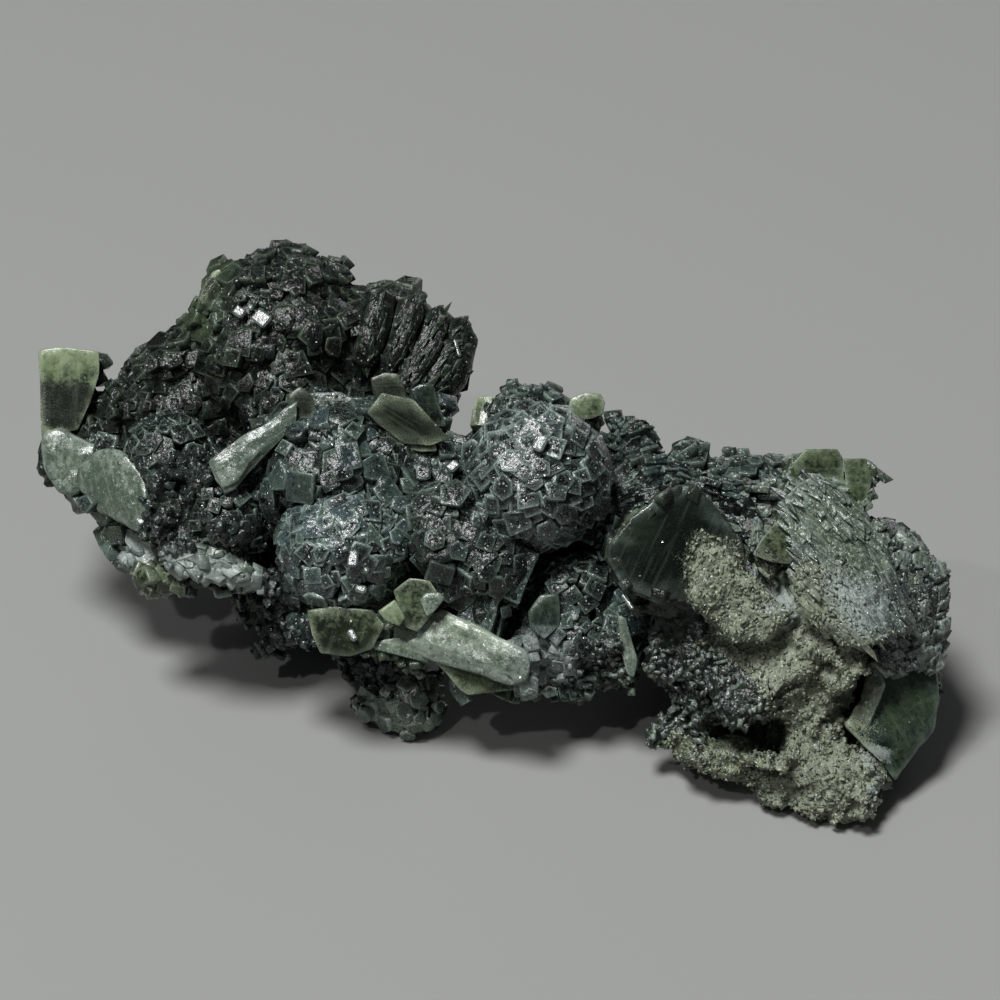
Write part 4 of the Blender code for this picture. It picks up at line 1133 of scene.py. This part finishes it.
def joined_copies(name, shapes, centre, turn, size, tone, finish, rng, rim_gain=1.0):
    """One mesh with a copy of a random shape for each centre, turn and size."""
    pick = rng.integers(0, len(shapes), len(centre))
    co, corners, sizes, rims, tones, grows, base = [], [], [], [], [], [], 0
    for index, shape in enumerate(shapes):
        mine = np.nonzero(pick == index)[0]
        scaled = shape.co[None] * size[mine][:, None, :]
        placed = np.einsum("nij,nkj->nki", turn[mine], scaled) + centre[mine][:, None, :]
        inside = ((placed > LOW + INSIDE_BOX) & (placed < HIGH - INSIDE_BOX)).all(axis=(1, 2))
        placed, mine, scaled = placed[inside], mine[inside], scaled[inside]
        count = len(mine)
        shift = base + np.arange(count)[:, None] * len(shape.co)
        co.append(placed.reshape(-1, 3))
        corners.append((shape.corners[None] + shift).reshape(-1))
        sizes.append(np.tile(shape.sizes, count))
        rims.append(np.tile(shape.rim, count))
        tones.append(np.repeat(tone[mine], len(shape.co)))
        grows.append((scaled + rng.uniform(0, GROW_REACH, (count, 1, 3))).reshape(-1, 3))
        base += count * len(shape.co)
    co, corners, sizes, rims, tones, grows = map(np.concatenate, (co, corners, sizes, rims, tones, grows))
    mesh = bpy.data.meshes.new(name)
    mesh.vertices.add(len(co))
    mesh.vertices.foreach_set("co", to_frame(co).reshape(-1).astype(np.float32))
    mesh.loops.add(len(corners))
    mesh.loops.foreach_set("vertex_index", corners)
    mesh.polygons.add(len(sizes))
    mesh.polygons.foreach_set("loop_start", np.concatenate(([0], np.cumsum(sizes)[:-1])).astype(np.int32))
    mesh.update(calc_edges=True)
    write_looks(mesh, co, rim=rims * rim_gain, tone=tones, grow=grows)
    print(name, "copies", len(centre), "triangles", int((sizes - 2).sum()))
    return finish_piece(name, mesh, finish)


print("each copy's pattern is shifted by up to", GROW_REACH, "mm")


# %% [markdown]
# ## Colonies
#
# The crystals grew outward from many starting points. Each colony is one of those points,
# with the style of crystal that grew there. Every spot on the surface belongs to the
# nearest colony, and its crystal leans away from that colony's pole, which gives the
# overlapping scales of a rosette without placing them one by one. Spots are taken in a
# random order, and each keeps its neighbours at a distance, so the cover is even but
# never in rows.

# %% Styles and colonies
# style: spacing, width, stretch, thickness, lean in degrees, jitter, sink, tone
STYLES = {
    "mosaic": (1.45, (1.7, 3.3), 1, (1.3, 1.7), 6, 0.08, 0.27, (-0.3, 0.9)),
    "small mosaic": (1.05, (1.1, 2.3), 1, (1.1, 1.6), 6, 0.12, 0.24, (-0.3, 0.8)),
    "deep mosaic": (1.25, (1.4, 2.9), 1, (1.1, 1.6), 4, 0.06, 0.36, (-0.2, 0.8)),
    "shingles": (1.9, (2, 3.2), 1, (1, 1.6), 12, 0.08, 0.12, (-0.1, 0.8)),
    "fibres": (0.7, (0.3, 0.8), 3.5, (0.6, 1), 1, 0.1, 0.5, (-0.2, 0.9)),
    "flutes": (0.6, (0.25, 0.7), 7, (0.5, 0.8), 0, 0.04, 0.66, (-0.15, 0.65)),
    "splinters": (1.15, (0.3, 1.1), 3.2, (0.7, 1.2), 2, 0.1, 0.46, (-0.1, 1)),
    "grains": (0.95, (0.7, 1.5), 1.1, (0.7, 1.3), 0, 0.6, 0.1, (-0.2, 0.7)),
    "vein": (0.7, (0.7, 2), 1.2, (0.7, 1.2), 4, 0.3, 0.42, (-0.3, 0.5)),
    "speckle": (0.55, (0.35, 1.1), 1.2, (0.3, 0.8), 0, 1, 0.5, (-0.8, 1.1)),
    "crust": (0.38, (0.2, 0.62), 1.25, (0.12, 0.36), 0, 1.2, 0.5, (-0.6, 0.9)),
}
STYLE_SHAPES = {"grains": GRAINS, "crust": SUGAR, "speckle": SUGAR} | dict.fromkeys(
    ("vein", "mosaic", "small mosaic", "deep mosaic"), COBBLES
)
# name: centre, radius, the way its pole looks from the best side, style, finish, how much lighter
COLONIES = {
    # The rear colonies are darker, partly for their own dark glass and partly as painted shade, because the
    # rear of the mass lies in shadow.
    "rear_top": ((-26, 22, 34), 11, (0, 1, 0.5), "deep mosaic", "deep", -0.5),
    "rear_front": ((-24, 14, 27), 10, (0, 0.6, 1), "deep mosaic", "deep", -0.5),
    "rear_right": ((-14, 20, 33), 7, (-0.2, 1, 0.2), "deep mosaic", "deep", -0.5),
    "rear_column": ((-8, 20.5, 32), 7, (-0.3, 1, 0.2), "deep mosaic", "deep", -0.4),
    "shoulder": ((-37, 19, 26), 8.5, (-0.3, 0.8, 0.6), "deep mosaic", "deep", -0.4),
    "left_crust": ((-33, 3.5, 22), 9, (-0.2, 0.5, 0.9), "grains", "dark", -0.25),
    "left_root": ((-42, 12, 18), 6, (-0.4, 0.3, 1), "mosaic", "dark", 0),
    "left_vein": ((-31.8, -5.8, 19.4), 3.4, (0, -1, 0.4), "vein", "white", 0),
    "left_under": ((-22, -6, 14), 4.4, (0, -1, 0.4), "grains", "dark", 0),
    "left_knob": ((-38.6, -1.6, 16.6), 3.6, (0, 0.4, 1), "small mosaic", "pale", -0.35),
    "crown": ((-17, 4.5, 26), 10, (-0.2, 0.8, 0.7), "mosaic", "dark", 0),
    "saddle": ((-5, 4, 27), 7, (0.1, 0.9, 0.7), "mosaic", "dark", 0),
    "middle": ((-5.5, -3, 21.5), 8, (-0.1, 0.1, 1), "shingles", "dark", 0),
    "summit": ((3.4, 6.4, 31.5), 5, (0, 1, 0.3), "small mosaic", "dark", 0),
    "wall": ((16, 3, 22), 8.5, (-0.8, 0.3, 0.7), "fibres", "dark", 0.3),
    "rear_ridge": ((28, 14, 16), 9, (0, 1, 0.2), "small mosaic", "dark", 0),
    "low_front": ((8, -7.5, 13), 8.5, (0, 0.2, 1), "small mosaic", "dark", 0),
    "speckled": ((10.6, -13, 12.8), 5.6, (0, 0, 1), "speckle", "grey", 0),
    "dome": ((18.8, -12, 26), 7, (0, 0.4, 1), "bare", "dark", 0),
    "block": ((36.5, -8.5, 24.5), 9.5, (-1, 1, 0.2), "splinters", "dusted", 0),
    "flank": ((43.5, -3, 17.5), 7.5, (0.8, 0.3, 0.6), "deep mosaic", "dark", 0.1),
    "crust": ((32, -14, 15), 8.5, (0, 0.2, 1), "crust", "crust", 0),
    "knob": ((26, -18.5, 12.8), 4.6, (0, 0.2, 1), "speckle", "grey", -0.1),
    "crust_low": ((32, -17, 6), 8, (0, -0.3, 1), "crust", "crust", 0),
    "crust_toe": ((38, -22, 3.4), 6, (0.2, -0.5, 1), "crust", "crust", 0),
    "glassy": ((43.5, -13, 6.5), 5.5, (0.5, 0, 1), "bare", "dark", 0),
    "under_front": ((-12, -1, 8), 8, (0, -0.8, 0.6), "grains", "dark", -0.3),
    # The foot under the body has the pale mint finish as painted light, so it looks lit though it lies in the
    # body's shade.
    "floor_knob": ((-10.3, -7.2, 2.4), 4.5, (0, 0, 1), "small mosaic", "white", -0.2),
    "back_left": ((-28, 26, 22), 10, (0, 0.5, -1), "shingles", "dark", 0),
    "back_middle": ((2, 12, 18), 9, (0, 0.5, -1), "shingles", "dark", 0),
    "back_right": ((30, 18, 12), 9, (0, 0.5, -1), "mosaic", "dark", 0),
    "under_left": ((-24, 10, 8), 10, (0, -1, 0), "grains", "dark", 0),
    "under_right": ((22, 2, 8), 10, (0, -1, 0), "grains", "dark", 0),
}
print("styles", len(STYLES), "colonies", len(COLONIES))

# %% [markdown]
# ## Growing the colonies
#
# The dome and the glassy end are bare: they own their part of the surface, and nothing
# grows there. Small crystals also keep out of the rosettes, the slit and the large crystals.

# %% Growing the colonies
ROSE_CLEARANCE = 0.6
SLIT_CLEARANCE = 2.2
COLONY_CURVE = 0.3
GRAIN_RIM = 0.3


def crowded(spots):
    """Which spots lie in a rosette, in the slit, or in or just over a large crystal."""
    taken = over_slabs(spots, 0.0, 5.0) > OVER
    for centre, radius, *_ in ROSES.values():
        taken |= distances(spots, centre) < radius + ROSE_CLEARANCE
    for centre in SLIT:
        taken |= distances(spots, centre) < SLIT_CLEARANCE
    for centre, size, face, along, *_ in ALONE.values():
        local = (spots - np.array(centre)) @ turn_of(best_side(*face), best_side(*along))
        half = np.array(size) / 2
        within = (np.abs(local[:, :2]) < half[:2] - 0.1).all(axis=1)
        taken |= within & (np.abs(local[:, 2] - 0.6) < half[2] + 0.9)
    return taken


def nearest_colony(spots):
    """For each spot, the index of the colony that it belongs to."""
    return np.argmin([distances(spots, centre) - radius for centre, radius, *_ in COLONIES.values()], axis=0)


def spaced(spots, spacing, rng):
    """Indices of spots in a random order, none nearer to another than the spacing."""
    order = rng.permutation(len(spots))
    _, first = np.unique(np.floor(spots[order] / (spacing * 0.4)).astype(int), axis=0, return_index=True)
    some = rng.permutation(order[first])
    tree = search_tree(spots[some])
    free, kept = np.ones(len(some), bool), []
    for index in range(len(some)):
        if free[index]:
            kept.append(some[index])
            free[[near for _, near, _ in tree.find_range(spots[some[index]], spacing)]] = False
    return np.array(kept)


def grow(name, spots, normals, centre, pole, style_name, finish, rng, lighter=0.0):
    """Crystals of one style over these spots, leaning away from the colony's pole."""
    spacing, widths, stretch, thicks, lean_most, jitter, sink_by, tones = STYLES[style_name]
    shapes = STYLE_SHAPES.get(style_name, TABLETS)
    kept = spaced(spots, spacing, rng)
    spots, normals = spots[kept], normals[kept]
    count = len(spots)
    out = unit(unit(spots - np.array(centre)) * COLONY_CURVE + normals)
    downhill = unit(out * (out @ np.array(pole))[:, None] - np.array(pole))
    lean = np.radians(lean_most) * rng.uniform(0.4, 1.4, count)[:, None]
    face = unit(out * np.cos(lean) - downhill * np.sin(lean) + rng.normal(0, jitter, (count, 3)))
    along = downhill + rng.normal(0, 0.15, (count, 3))
    width = widths[0] + (widths[1] - widths[0]) * rng.uniform(0, 1, count) ** 1.6
    thick = rng.uniform(*thicks, count)
    long = width * stretch * rng.uniform(0.85, 1.15, count)
    size = np.stack((long, width * rng.uniform(0.85, 1.15, count), thick), axis=1)
    tone = rng.uniform(tones[0] + lighter, tones[1] + lighter, count) + 0.3 * wobble(spots, 11.0)
    place = spots - face * ((sink_by + rng.uniform(-0.15, 0.2, count)) * thick)[:, None]
    rim_gain = GRAIN_RIM if shapes in (GRAINS, SUGAR) else 1.0
    return joined_copies(name, shapes, place, turns(face, along), size, tone, finish, rng, rim_gain)


def grow_colonies():
    mesh = body_core.data
    spots = to_layout(read_points(mesh))
    normals = unit(spread(mesh, read_points(mesh, "vertices", "normal"), NORMAL_SMOOTHING))
    owner, free = nearest_colony(spots), ~crowded(spots)
    rng = np.random.default_rng(21)
    for index, (name, (centre, _, pole, style, finish, lighter)) in enumerate(COLONIES.items()):
        mine = (owner == index) & free
        if style in STYLES and mine.any():
            grow(name, spots[mine], normals[mine], centre, best_side(*pole), style, finish, rng, lighter)


def crust_the_body():
    """Gives the body the crust's own material where crust colonies grow."""
    mesh = body_core.data
    mesh.materials.append(CRUST)
    middles = to_layout(read_points(mesh, "polygons", "center"))
    crusts = [index for index, name in enumerate(COLONIES) if name.startswith("crust")]
    mesh.polygons.foreach_set("material_index", np.isin(nearest_colony(middles), crusts).astype(np.int32))


grow_colonies()
crust_the_body()

# %% [markdown]
# ## Rosettes and buds
#
# The two rosettes are the best crystals of the piece: square plates that overlap like
# scales round a ball, with their outer edges standing proud. Their middles follow a golden
# spiral, which spreads any number of plates evenly over a cap of a ball. The buds between
# them are made the same way, smaller and darker.

# %% Rosettes and buds
GOLDEN_ANGLE = math.pi * (3.0 - math.sqrt(5.0))
LEFT_ROSE_LIGHTER = 0.12
OTHERS_DARKER = 0.85
SPLAYED_LEAN = 12


def grow_rose(name, centre, radius, pole, spread_angle, count, widths, lean_most, rng):
    share = (np.arange(count) + 0.5) / count
    angle = np.arccos(1.0 - share * (1.0 - math.cos(math.radians(spread_angle))))
    pole = np.array(best_side(*pole))
    side = unit(np.cross(pole, (0.3, 0.1, 1.0)))
    other = np.cross(pole, side)
    turn = np.arange(count) * GOLDEN_ANGLE + rng.uniform(-0.2, 0.2, count)
    ring = side * np.cos(turn)[:, None] + other * np.sin(turn)[:, None]
    out = pole * np.cos(angle)[:, None] + ring * np.sin(angle)[:, None]
    downhill = unit(out * np.cos(angle)[:, None] - pole)
    lean = np.radians(rng.uniform(0.3, 1.3, count) * lean_most)[:, None]
    lean = lean * np.minimum(1.0, angle * 1.5)[:, None]
    face = unit(out * np.cos(lean) - downhill * np.sin(lean) + rng.normal(0, 0.09, (count, 3)))
    along = downhill + np.cross(face, downhill) * rng.normal(0.8, 0.3, count)[:, None]
    width = rng.uniform(*widths, count)
    size = np.stack((width, width * rng.uniform(0.8, 1.15, count), rng.uniform(1.0, 1.5, count)), axis=1)
    place = np.array(centre) + out * (radius - 0.5 + rng.uniform(-0.35, 0.35, count))[:, None]
    tone = rng.uniform(-0.5, 0.9, count) + (LEFT_ROSE_LIGHTER if name == "left_rose" else -OTHERS_DARKER)
    open_to_view = over_slabs(place, 0.0, 6.0) < OVER
    place, face, along, size, tone = (each[open_to_view] for each in (place, face, along, size, tone))
    shapes = COBBLES if lean_most < SPLAYED_LEAN else TABLETS
    finish = "rose" if name.endswith("rose") else "dark"
    return joined_copies(name, shapes, place, turns(face, along), size, tone, finish, rng)


rose_rng = np.random.default_rng(7)
for rose_name, values in ROSES.items():
    grow_rose(rose_name, *values, rose_rng)

# %% [markdown]
# ## Slabs
#
# A slab is the convex hull of its corners, its edges bevelled, its faces cut fine enough to
# be slightly uneven. The rim of a slab is pale within a short way of its outline. Its points
# are sorted by place, because the hull and the bevel number them in an order of their own
# in each run, and what grows on the slab is drawn at random by that order.

# %% Wrapping a slab
FINEST_EDGE = 0.7
UNEVEN_SIZES = (3.1, 1.1)
FRONT_HALF = 0.5


def in_order(bm):
    """Sorts the points of a mesh by place, so that every run numbers them alike."""
    line = Vector((1.0, 0.618, 0.382))
    bm.verts.sort(key=lambda vert: vert.co.dot(line))
    bm.verts.index_update()


def hull_bmesh(corners, bevel):
    """The bevelled convex hull of some points, as triangles about as small as FINEST_EDGE."""
    bm = bmesh.new()
    for corner in corners:
        bm.verts.new(corner)
    made = bmesh.ops.convex_hull(bm, input=bm.verts)
    inner = {v for v in made["geom_interior"] if isinstance(v, bmesh.types.BMVert)}
    bmesh.ops.delete(bm, geom=[v for v in bm.verts if v in inner], context="VERTS")
    bmesh.ops.dissolve_limit(bm, angle_limit=math.radians(7), verts=bm.verts, edges=bm.edges)
    bevel_edges(bm, bevel, segments=2)
    bmesh.ops.triangulate(bm, faces=bm.faces)
    for _ in range(3):
        bmesh.ops.subdivide_edges(bm, edges=[e for e in bm.edges if e.calc_length() > FINEST_EDGE], cuts=1)
        bmesh.ops.triangulate(bm, faces=[f for f in bm.faces if len(f.verts) > 3])
    bmesh.ops.recalc_face_normals(bm, faces=bm.faces)
    bm.normal_update()
    return bm


def wrap_slab(name, finish, bevel, uneven, fibres, tone, rim, **shape):
    """One slab as a piece, with its pale rim, its shade and its fibres written on its points."""
    bm = hull_bmesh(slab_corners(**shape), bevel)
    fronts = [face for face in bm.faces if face.normal.dot(best_side(0, 0.3, 1)) > 0.6]
    facing = sum((face.normal * face.calc_area() for face in fronts), Vector())
    facing.normalize()
    in_order(bm)
    turned_off = np.array([1.0 - v.normal.dot(facing) for v in bm.verts])
    for vert in bm.verts:
        broad, fine = (noise.noise(vert.co / size) * uneven for size in UNEVEN_SIZES)
        vert.co += vert.normal * (broad + fine * 0.5)
    mesh = mesh_from(bm, name)
    points = in_box(read_points(mesh), INSIDE_BOX / 2)
    move_points(mesh, points, smooth=True)
    height = points @ np.array(UP)
    share = (height - height.min()) / (height.max() - height.min())
    gap = edge_gap(as_seen(points)[0], np.array(shape["outline"])) * np.where(turned_off < FRONT_HALF, 1, 9)
    whole = np.clip(0.9 + 0.6 * wobble(points, 7.0), 0.3, 1)
    shades = np.interp(share + 0.05 * wobble(points, 2.0), np.linspace(0, 1, len(tone)), tone)
    write_looks(
        mesh, points,
        rim=whole * np.clip(1.15 - gap / rim * (1 + 0.3 * wobble(points, 2.0)), 0, 1),
        tone=shades + 0.1 * wobble(points, 5.0),
        grow=points @ turn_of(facing, best_side(*fibres)),
    )
    return finish_piece(name, mesh, finish)


print("slab outlines have", sorted({len(slab["outline"]) for slab in SLABS.values()}), "corners")


# %% [markdown]
# ## What grows on the slabs
#
# A broken crystal doesn't stay clean. Flutes run down the grey blocks and the rear blades,
# crust creeps over the dome and the blocks where the olive zone lies, and the vein and the
# flank are covered all over. The dome's back carries the same mosaic as its surroundings.

# %% Slabs and their overgrowth
SPOTS_PER_TRIANGLE = 6
CRUST_SPOTS_PER_TRIANGLE = 16
ZONE_EDGE = 0.35
FLUTES = [("flutes", "deep", None)]
# What grows on a slab: style, finish, and the zone it keeps to.
OVERGROWN = {
    "crust_tongue": [("crust", "crust", None)], "white_vein": [("vein", "white", None)],
    "dome": [("crust", "crust", "olive"), ("deep mosaic", "deep", "back")],
    "block_middle": [("crust", "crust", "olive"), ("flutes", "grey", None)],
    "block_right": [("flutes", "grey", None)],
    "block_left": [("crust", "crust", "olive"), ("flutes", "grey", None)],
    "flank_mass": [("small mosaic", "grey", None), ("speckle", "grey", None)],
    "rear_blade_a": FLUTES, "rear_blade_b": FLUTES, "rear_blade_c": FLUTES, "rear_blade_d": FLUTES,
}


def points_on(mesh, per_triangle, rng):
    """Random points on a mesh: their corners' indices and shares, three of each."""
    mesh.calc_loop_triangles()
    corners = np.empty(len(mesh.loop_triangles) * 3, np.int32)
    mesh.loop_triangles.foreach_get("vertices", corners)
    corners = np.unique(np.sort(corners.reshape(-1, 3), axis=1), axis=0)
    corners = np.repeat(corners, per_triangle, axis=0)
    return corners, rng.dirichlet((1, 1, 1), len(corners))


def overgrow(slab, style, finish, pole, zone):
    """Small crystals over the front of a slab, all over it or only in one zone, or over its back."""
    mesh, rng = slab.data, np.random.default_rng(5)
    per_triangle = CRUST_SPOTS_PER_TRIANGLE if style == "crust" else SPOTS_PER_TRIANGLE
    corners, shares = points_on(mesh, per_triangle, rng)
    spots = np.einsum("ij,ijk->ik", shares, to_layout(read_points(mesh))[corners])
    normals = unit(np.einsum("ij,ijk->ik", shares, read_points(mesh, "vertices", "normal")[corners]))
    facing = normals @ np.array(TOWARD)
    mine = facing < -0.1 if zone == "back" else facing > (0.75 if style == "flutes" else 0.1)
    if zone in ZONES:
        depth = np.empty(len(mesh.vertices), np.float32)
        mesh.attributes[zone].data.foreach_get("value", depth)
        mine &= np.einsum("ij,ij->i", shares, depth[corners]) > ZONE_EDGE
    name = f"{slab.name} {style}".replace(" ", "_")
    grow(name, spots[mine], normals[mine], spots.mean(axis=0), pole, style, finish, rng)


for slab_name, slab in SLABS.items():
    made = wrap_slab(slab_name, **slab)
    for style, finish, zone in OVERGROWN.get(slab_name, ()):
        overgrow(made, style, finish, -np.array(best_side(*slab["fibres"])), zone)
print("slabs overgrown", len(OVERGROWN), "of", len(SLABS))

# %% [markdown]
# ## A bundle of blades
#
# Under the front rim hangs a bundle of long blades, side by side, that spread like a fan
# toward their far ends.

# %% A bundle of blades
UNDER_RIM = dict(
    centre=(5, -12, 9), size=(4, 11, 3), face=(0, 0.2, 1), along=(0, -1, 0.2), count=44, fan=60,
    tones=(0, 0.6),
)


def grow_bundle(name, centre, size, face, along, count, fan, tones, finish, rng):
    turn = turn_of(best_side(*face), best_side(*along))
    across = rng.uniform(-0.5, 0.5, count)
    length = size[0] * rng.uniform(0.3, 0.75, count) / (1.0 + fan / 90)
    start = (size[0] - length) * rng.uniform(-0.5, 0.5, count)
    height = size[2] * (rng.uniform(-0.5, 0.5, count) - 0.5 * np.abs(across))
    local = np.stack((start, across * size[1], height), axis=1)
    angle = np.radians(fan) * across + rng.normal(0, 0.05, count)
    ahead = np.stack((np.cos(angle), np.sin(angle), rng.normal(0, 0.05, count)), axis=1)
    up = np.array((0.0, 0.0, 1.0)) + rng.normal(0, 0.22, (count, 3))
    place, blade = local @ turn.T + np.array(centre), turns(up @ turn.T, ahead @ turn.T)
    dims = np.stack((length, rng.uniform(0.7, 1.7, count), rng.uniform(0.7, 1.3, count)), axis=1)
    return joined_copies(name, TABLETS, place, blade, dims, rng.uniform(*tones, count), finish, rng)


grow_bundle("under_rim", **UNDER_RIM, finish="dark", rng=np.random.default_rng(12))

# %% [markdown]
# ## Crystals that stand alone
#
# A few more tablets and dark books stick out of the mass. Each is a stack of bevelled plates
# of slightly different outline, because such a crystal is a stack of growth layers. The
# clean faces are single plates, nearly flat, each turned halfway between the window and
# the eye.

# %% Crystals that stand alone
CRYSTAL_SIDES = 4
CRYSTAL_BEVEL = 0.28
CRYSTAL_RIM = 0.2
UNEVENNESS = ((2.2, 0.28), (0.8, 0.1))
CLEAN_UNEVENNESS = 0.1
WINDOW_AIM = (0, 0, 20)


def stacked_plates(size, far_end, plates, rng):
    """The layers of one crystal as a bmesh, at real size in millimetres, Z through the stack."""
    bm = bmesh.new()
    thick = size[2] / plates
    for index in range(plates):
        shrink = rng.uniform(0.86, 1.0) if plates > 1 else 1.0
        plate = tablet_bmesh(
            CRYSTAL_SIDES, rng, inset=CRYSTAL_RIM, taper=0.93, ragged=0.05, dome=0.0, far_end=far_end,
            bevel=min(CRYSTAL_BEVEL, thick * 0.33), size=(size[0] * shrink, size[1] * shrink, thick * 1.04),
        )
        shift = (rng.uniform(-0.3, 0.3), rng.uniform(-0.2, 0.2), (index + 0.5) * thick - size[2] / 2)
        bmesh.ops.translate(plate, vec=shift if plates > 1 else (0, 0, 0), verts=plate.verts)
        bm.from_mesh(mesh_from(plate, "plate"))
    return bm


def stand_alone(name, centre, size, face, along, far_end, plates, finish, rng):
    bm = stacked_plates(size, far_end, plates, rng)
    long_edges = [edge for edge in bm.edges if edge.calc_length() > 0.9]
    bmesh.ops.subdivide_edges(bm, edges=long_edges, cuts=3, use_grid_fill=True)
    bmesh.ops.triangulate(bm, faces=[f for f in bm.faces if len(f.verts) > 4])
    offset = rng.uniform(0, 50)
    for vert in bm.verts:
        push = sum(noise.noise((vert.co + Vector((offset, 0, 0))) / wave) * high for wave, high in UNEVENNESS)
        push *= CLEAN_UNEVENNESS if finish == "clean" else 1.0
        vert.co += vert.normal * (push - 0.1)
    mesh = mesh_from(bm, name)
    local = read_points(mesh)
    placed = in_box(local @ turn_of(face, best_side(*along)).T + np.array(centre), INSIDE_BOX / 2)
    move_points(mesh, placed)
    write_looks(mesh, placed, tone=0.5 + 0.1 * local[:, 0] / size[0], grow=local + offset)
    return finish_piece(name, mesh, finish)


def catches_light(centre):
    """The way a face here looks when it sends the window's light to the camera."""
    to_window = best_side(*WINDOW_WAY).normalized() * WINDOW_DISTANCE + Vector(WINDOW_AIM) - Vector(centre)
    to_camera = LOOK_AT + TOWARD * VIEW_DISTANCE - Vector(centre)
    return to_window.normalized() + to_camera.normalized()


alone_rng = random.Random(3)
for crystal_name, (centre, size, face, along, far_end, plates, finish) in ALONE.items():
    stand_alone(crystal_name, centre, size, best_side(*face), along, far_end, plates, finish, alone_rng)
for index, (centre, size) in enumerate(GLINTS):
    along = (0.2 * index, 1, 0)
    stand_alone(f"clean_face_{index}", centre, size, catches_light(centre), along, 1, 1, "clean", alone_rng)
print("single crystals", len(ALONE) + len(GLINTS))

# %% [markdown]
# ## Floor and light
#
# A plain pale floor and three lights: a large soft one high on the left, like a window, a
# weak one behind like a far wall, and a small bright lamp near the eye that gives the flat
# crystal faces their sparkle. The lamp stands a little aside, because a light exactly in
# the line of sight puts a grey haze on every face that looks at the camera.

# %% Floor and lights
FLOOR_SIZE = 2.0
BOARD_GREY, BOARD_ROUGHNESS = "#939491", 0.85
ROOM_GREY, ROOM_STRENGTH = "#c6cbcd", 0.1


def make_floor():
    material = new_material("painted board, matte pale grey")
    tree = material.node_tree
    # Matt paint sends the light back evenly, so the floor shows soft shadows and no glare.
    surface = add_node(
        tree, "BsdfPrincipled", inputs={"Base Color": linear(BOARD_GREY), "Roughness": BOARD_ROUGHNESS}
    )
    add_node(tree, "OutputMaterial", surface)
    bm = bmesh.new()
    bmesh.ops.create_grid(bm, x_segments=1, y_segments=1, size=FLOOR_SIZE)
    floor = in_scene("floor", mesh_from(bm, "floor"))
    floor.data.materials.append(material)


def add_light(name, way, distance, size, power):
    """A round soft light, seen from the best side in this direction, at metres from the piece."""
    light = in_scene(name, bpy.data.lights.new(name, "AREA"))
    light.data.shape = "DISK"
    light.data.size = size
    light.data.energy = power
    aim = best_side(*way)
    light.location = Vector(to_frame(WINDOW_AIM)) + aim * distance
    light.rotation_euler = aim.to_track_quat("Z", "Y").to_euler()


make_floor()
add_light("window", WINDOW_WAY, WINDOW_DISTANCE * MM, 0.42, 21.5)
add_light("far wall", (0.5, 0.7, -1), 1.2, 0.8, 3)
add_light("lamp", (-0.5, 0.4, 1), 0.7, 0.025, 0.6)
world = bpy.data.worlds.new("soft room light")
bpy.context.scene.world = world
world.use_nodes = True
room = world.node_tree.nodes["Background"]
room.inputs["Color"].default_value = linear(ROOM_GREY)
room.inputs["Strength"].default_value = ROOM_STRENGTH
bpy.context.scene.view_settings.view_transform = "Standard"
print("lights", [light.name for light in bpy.data.lights])
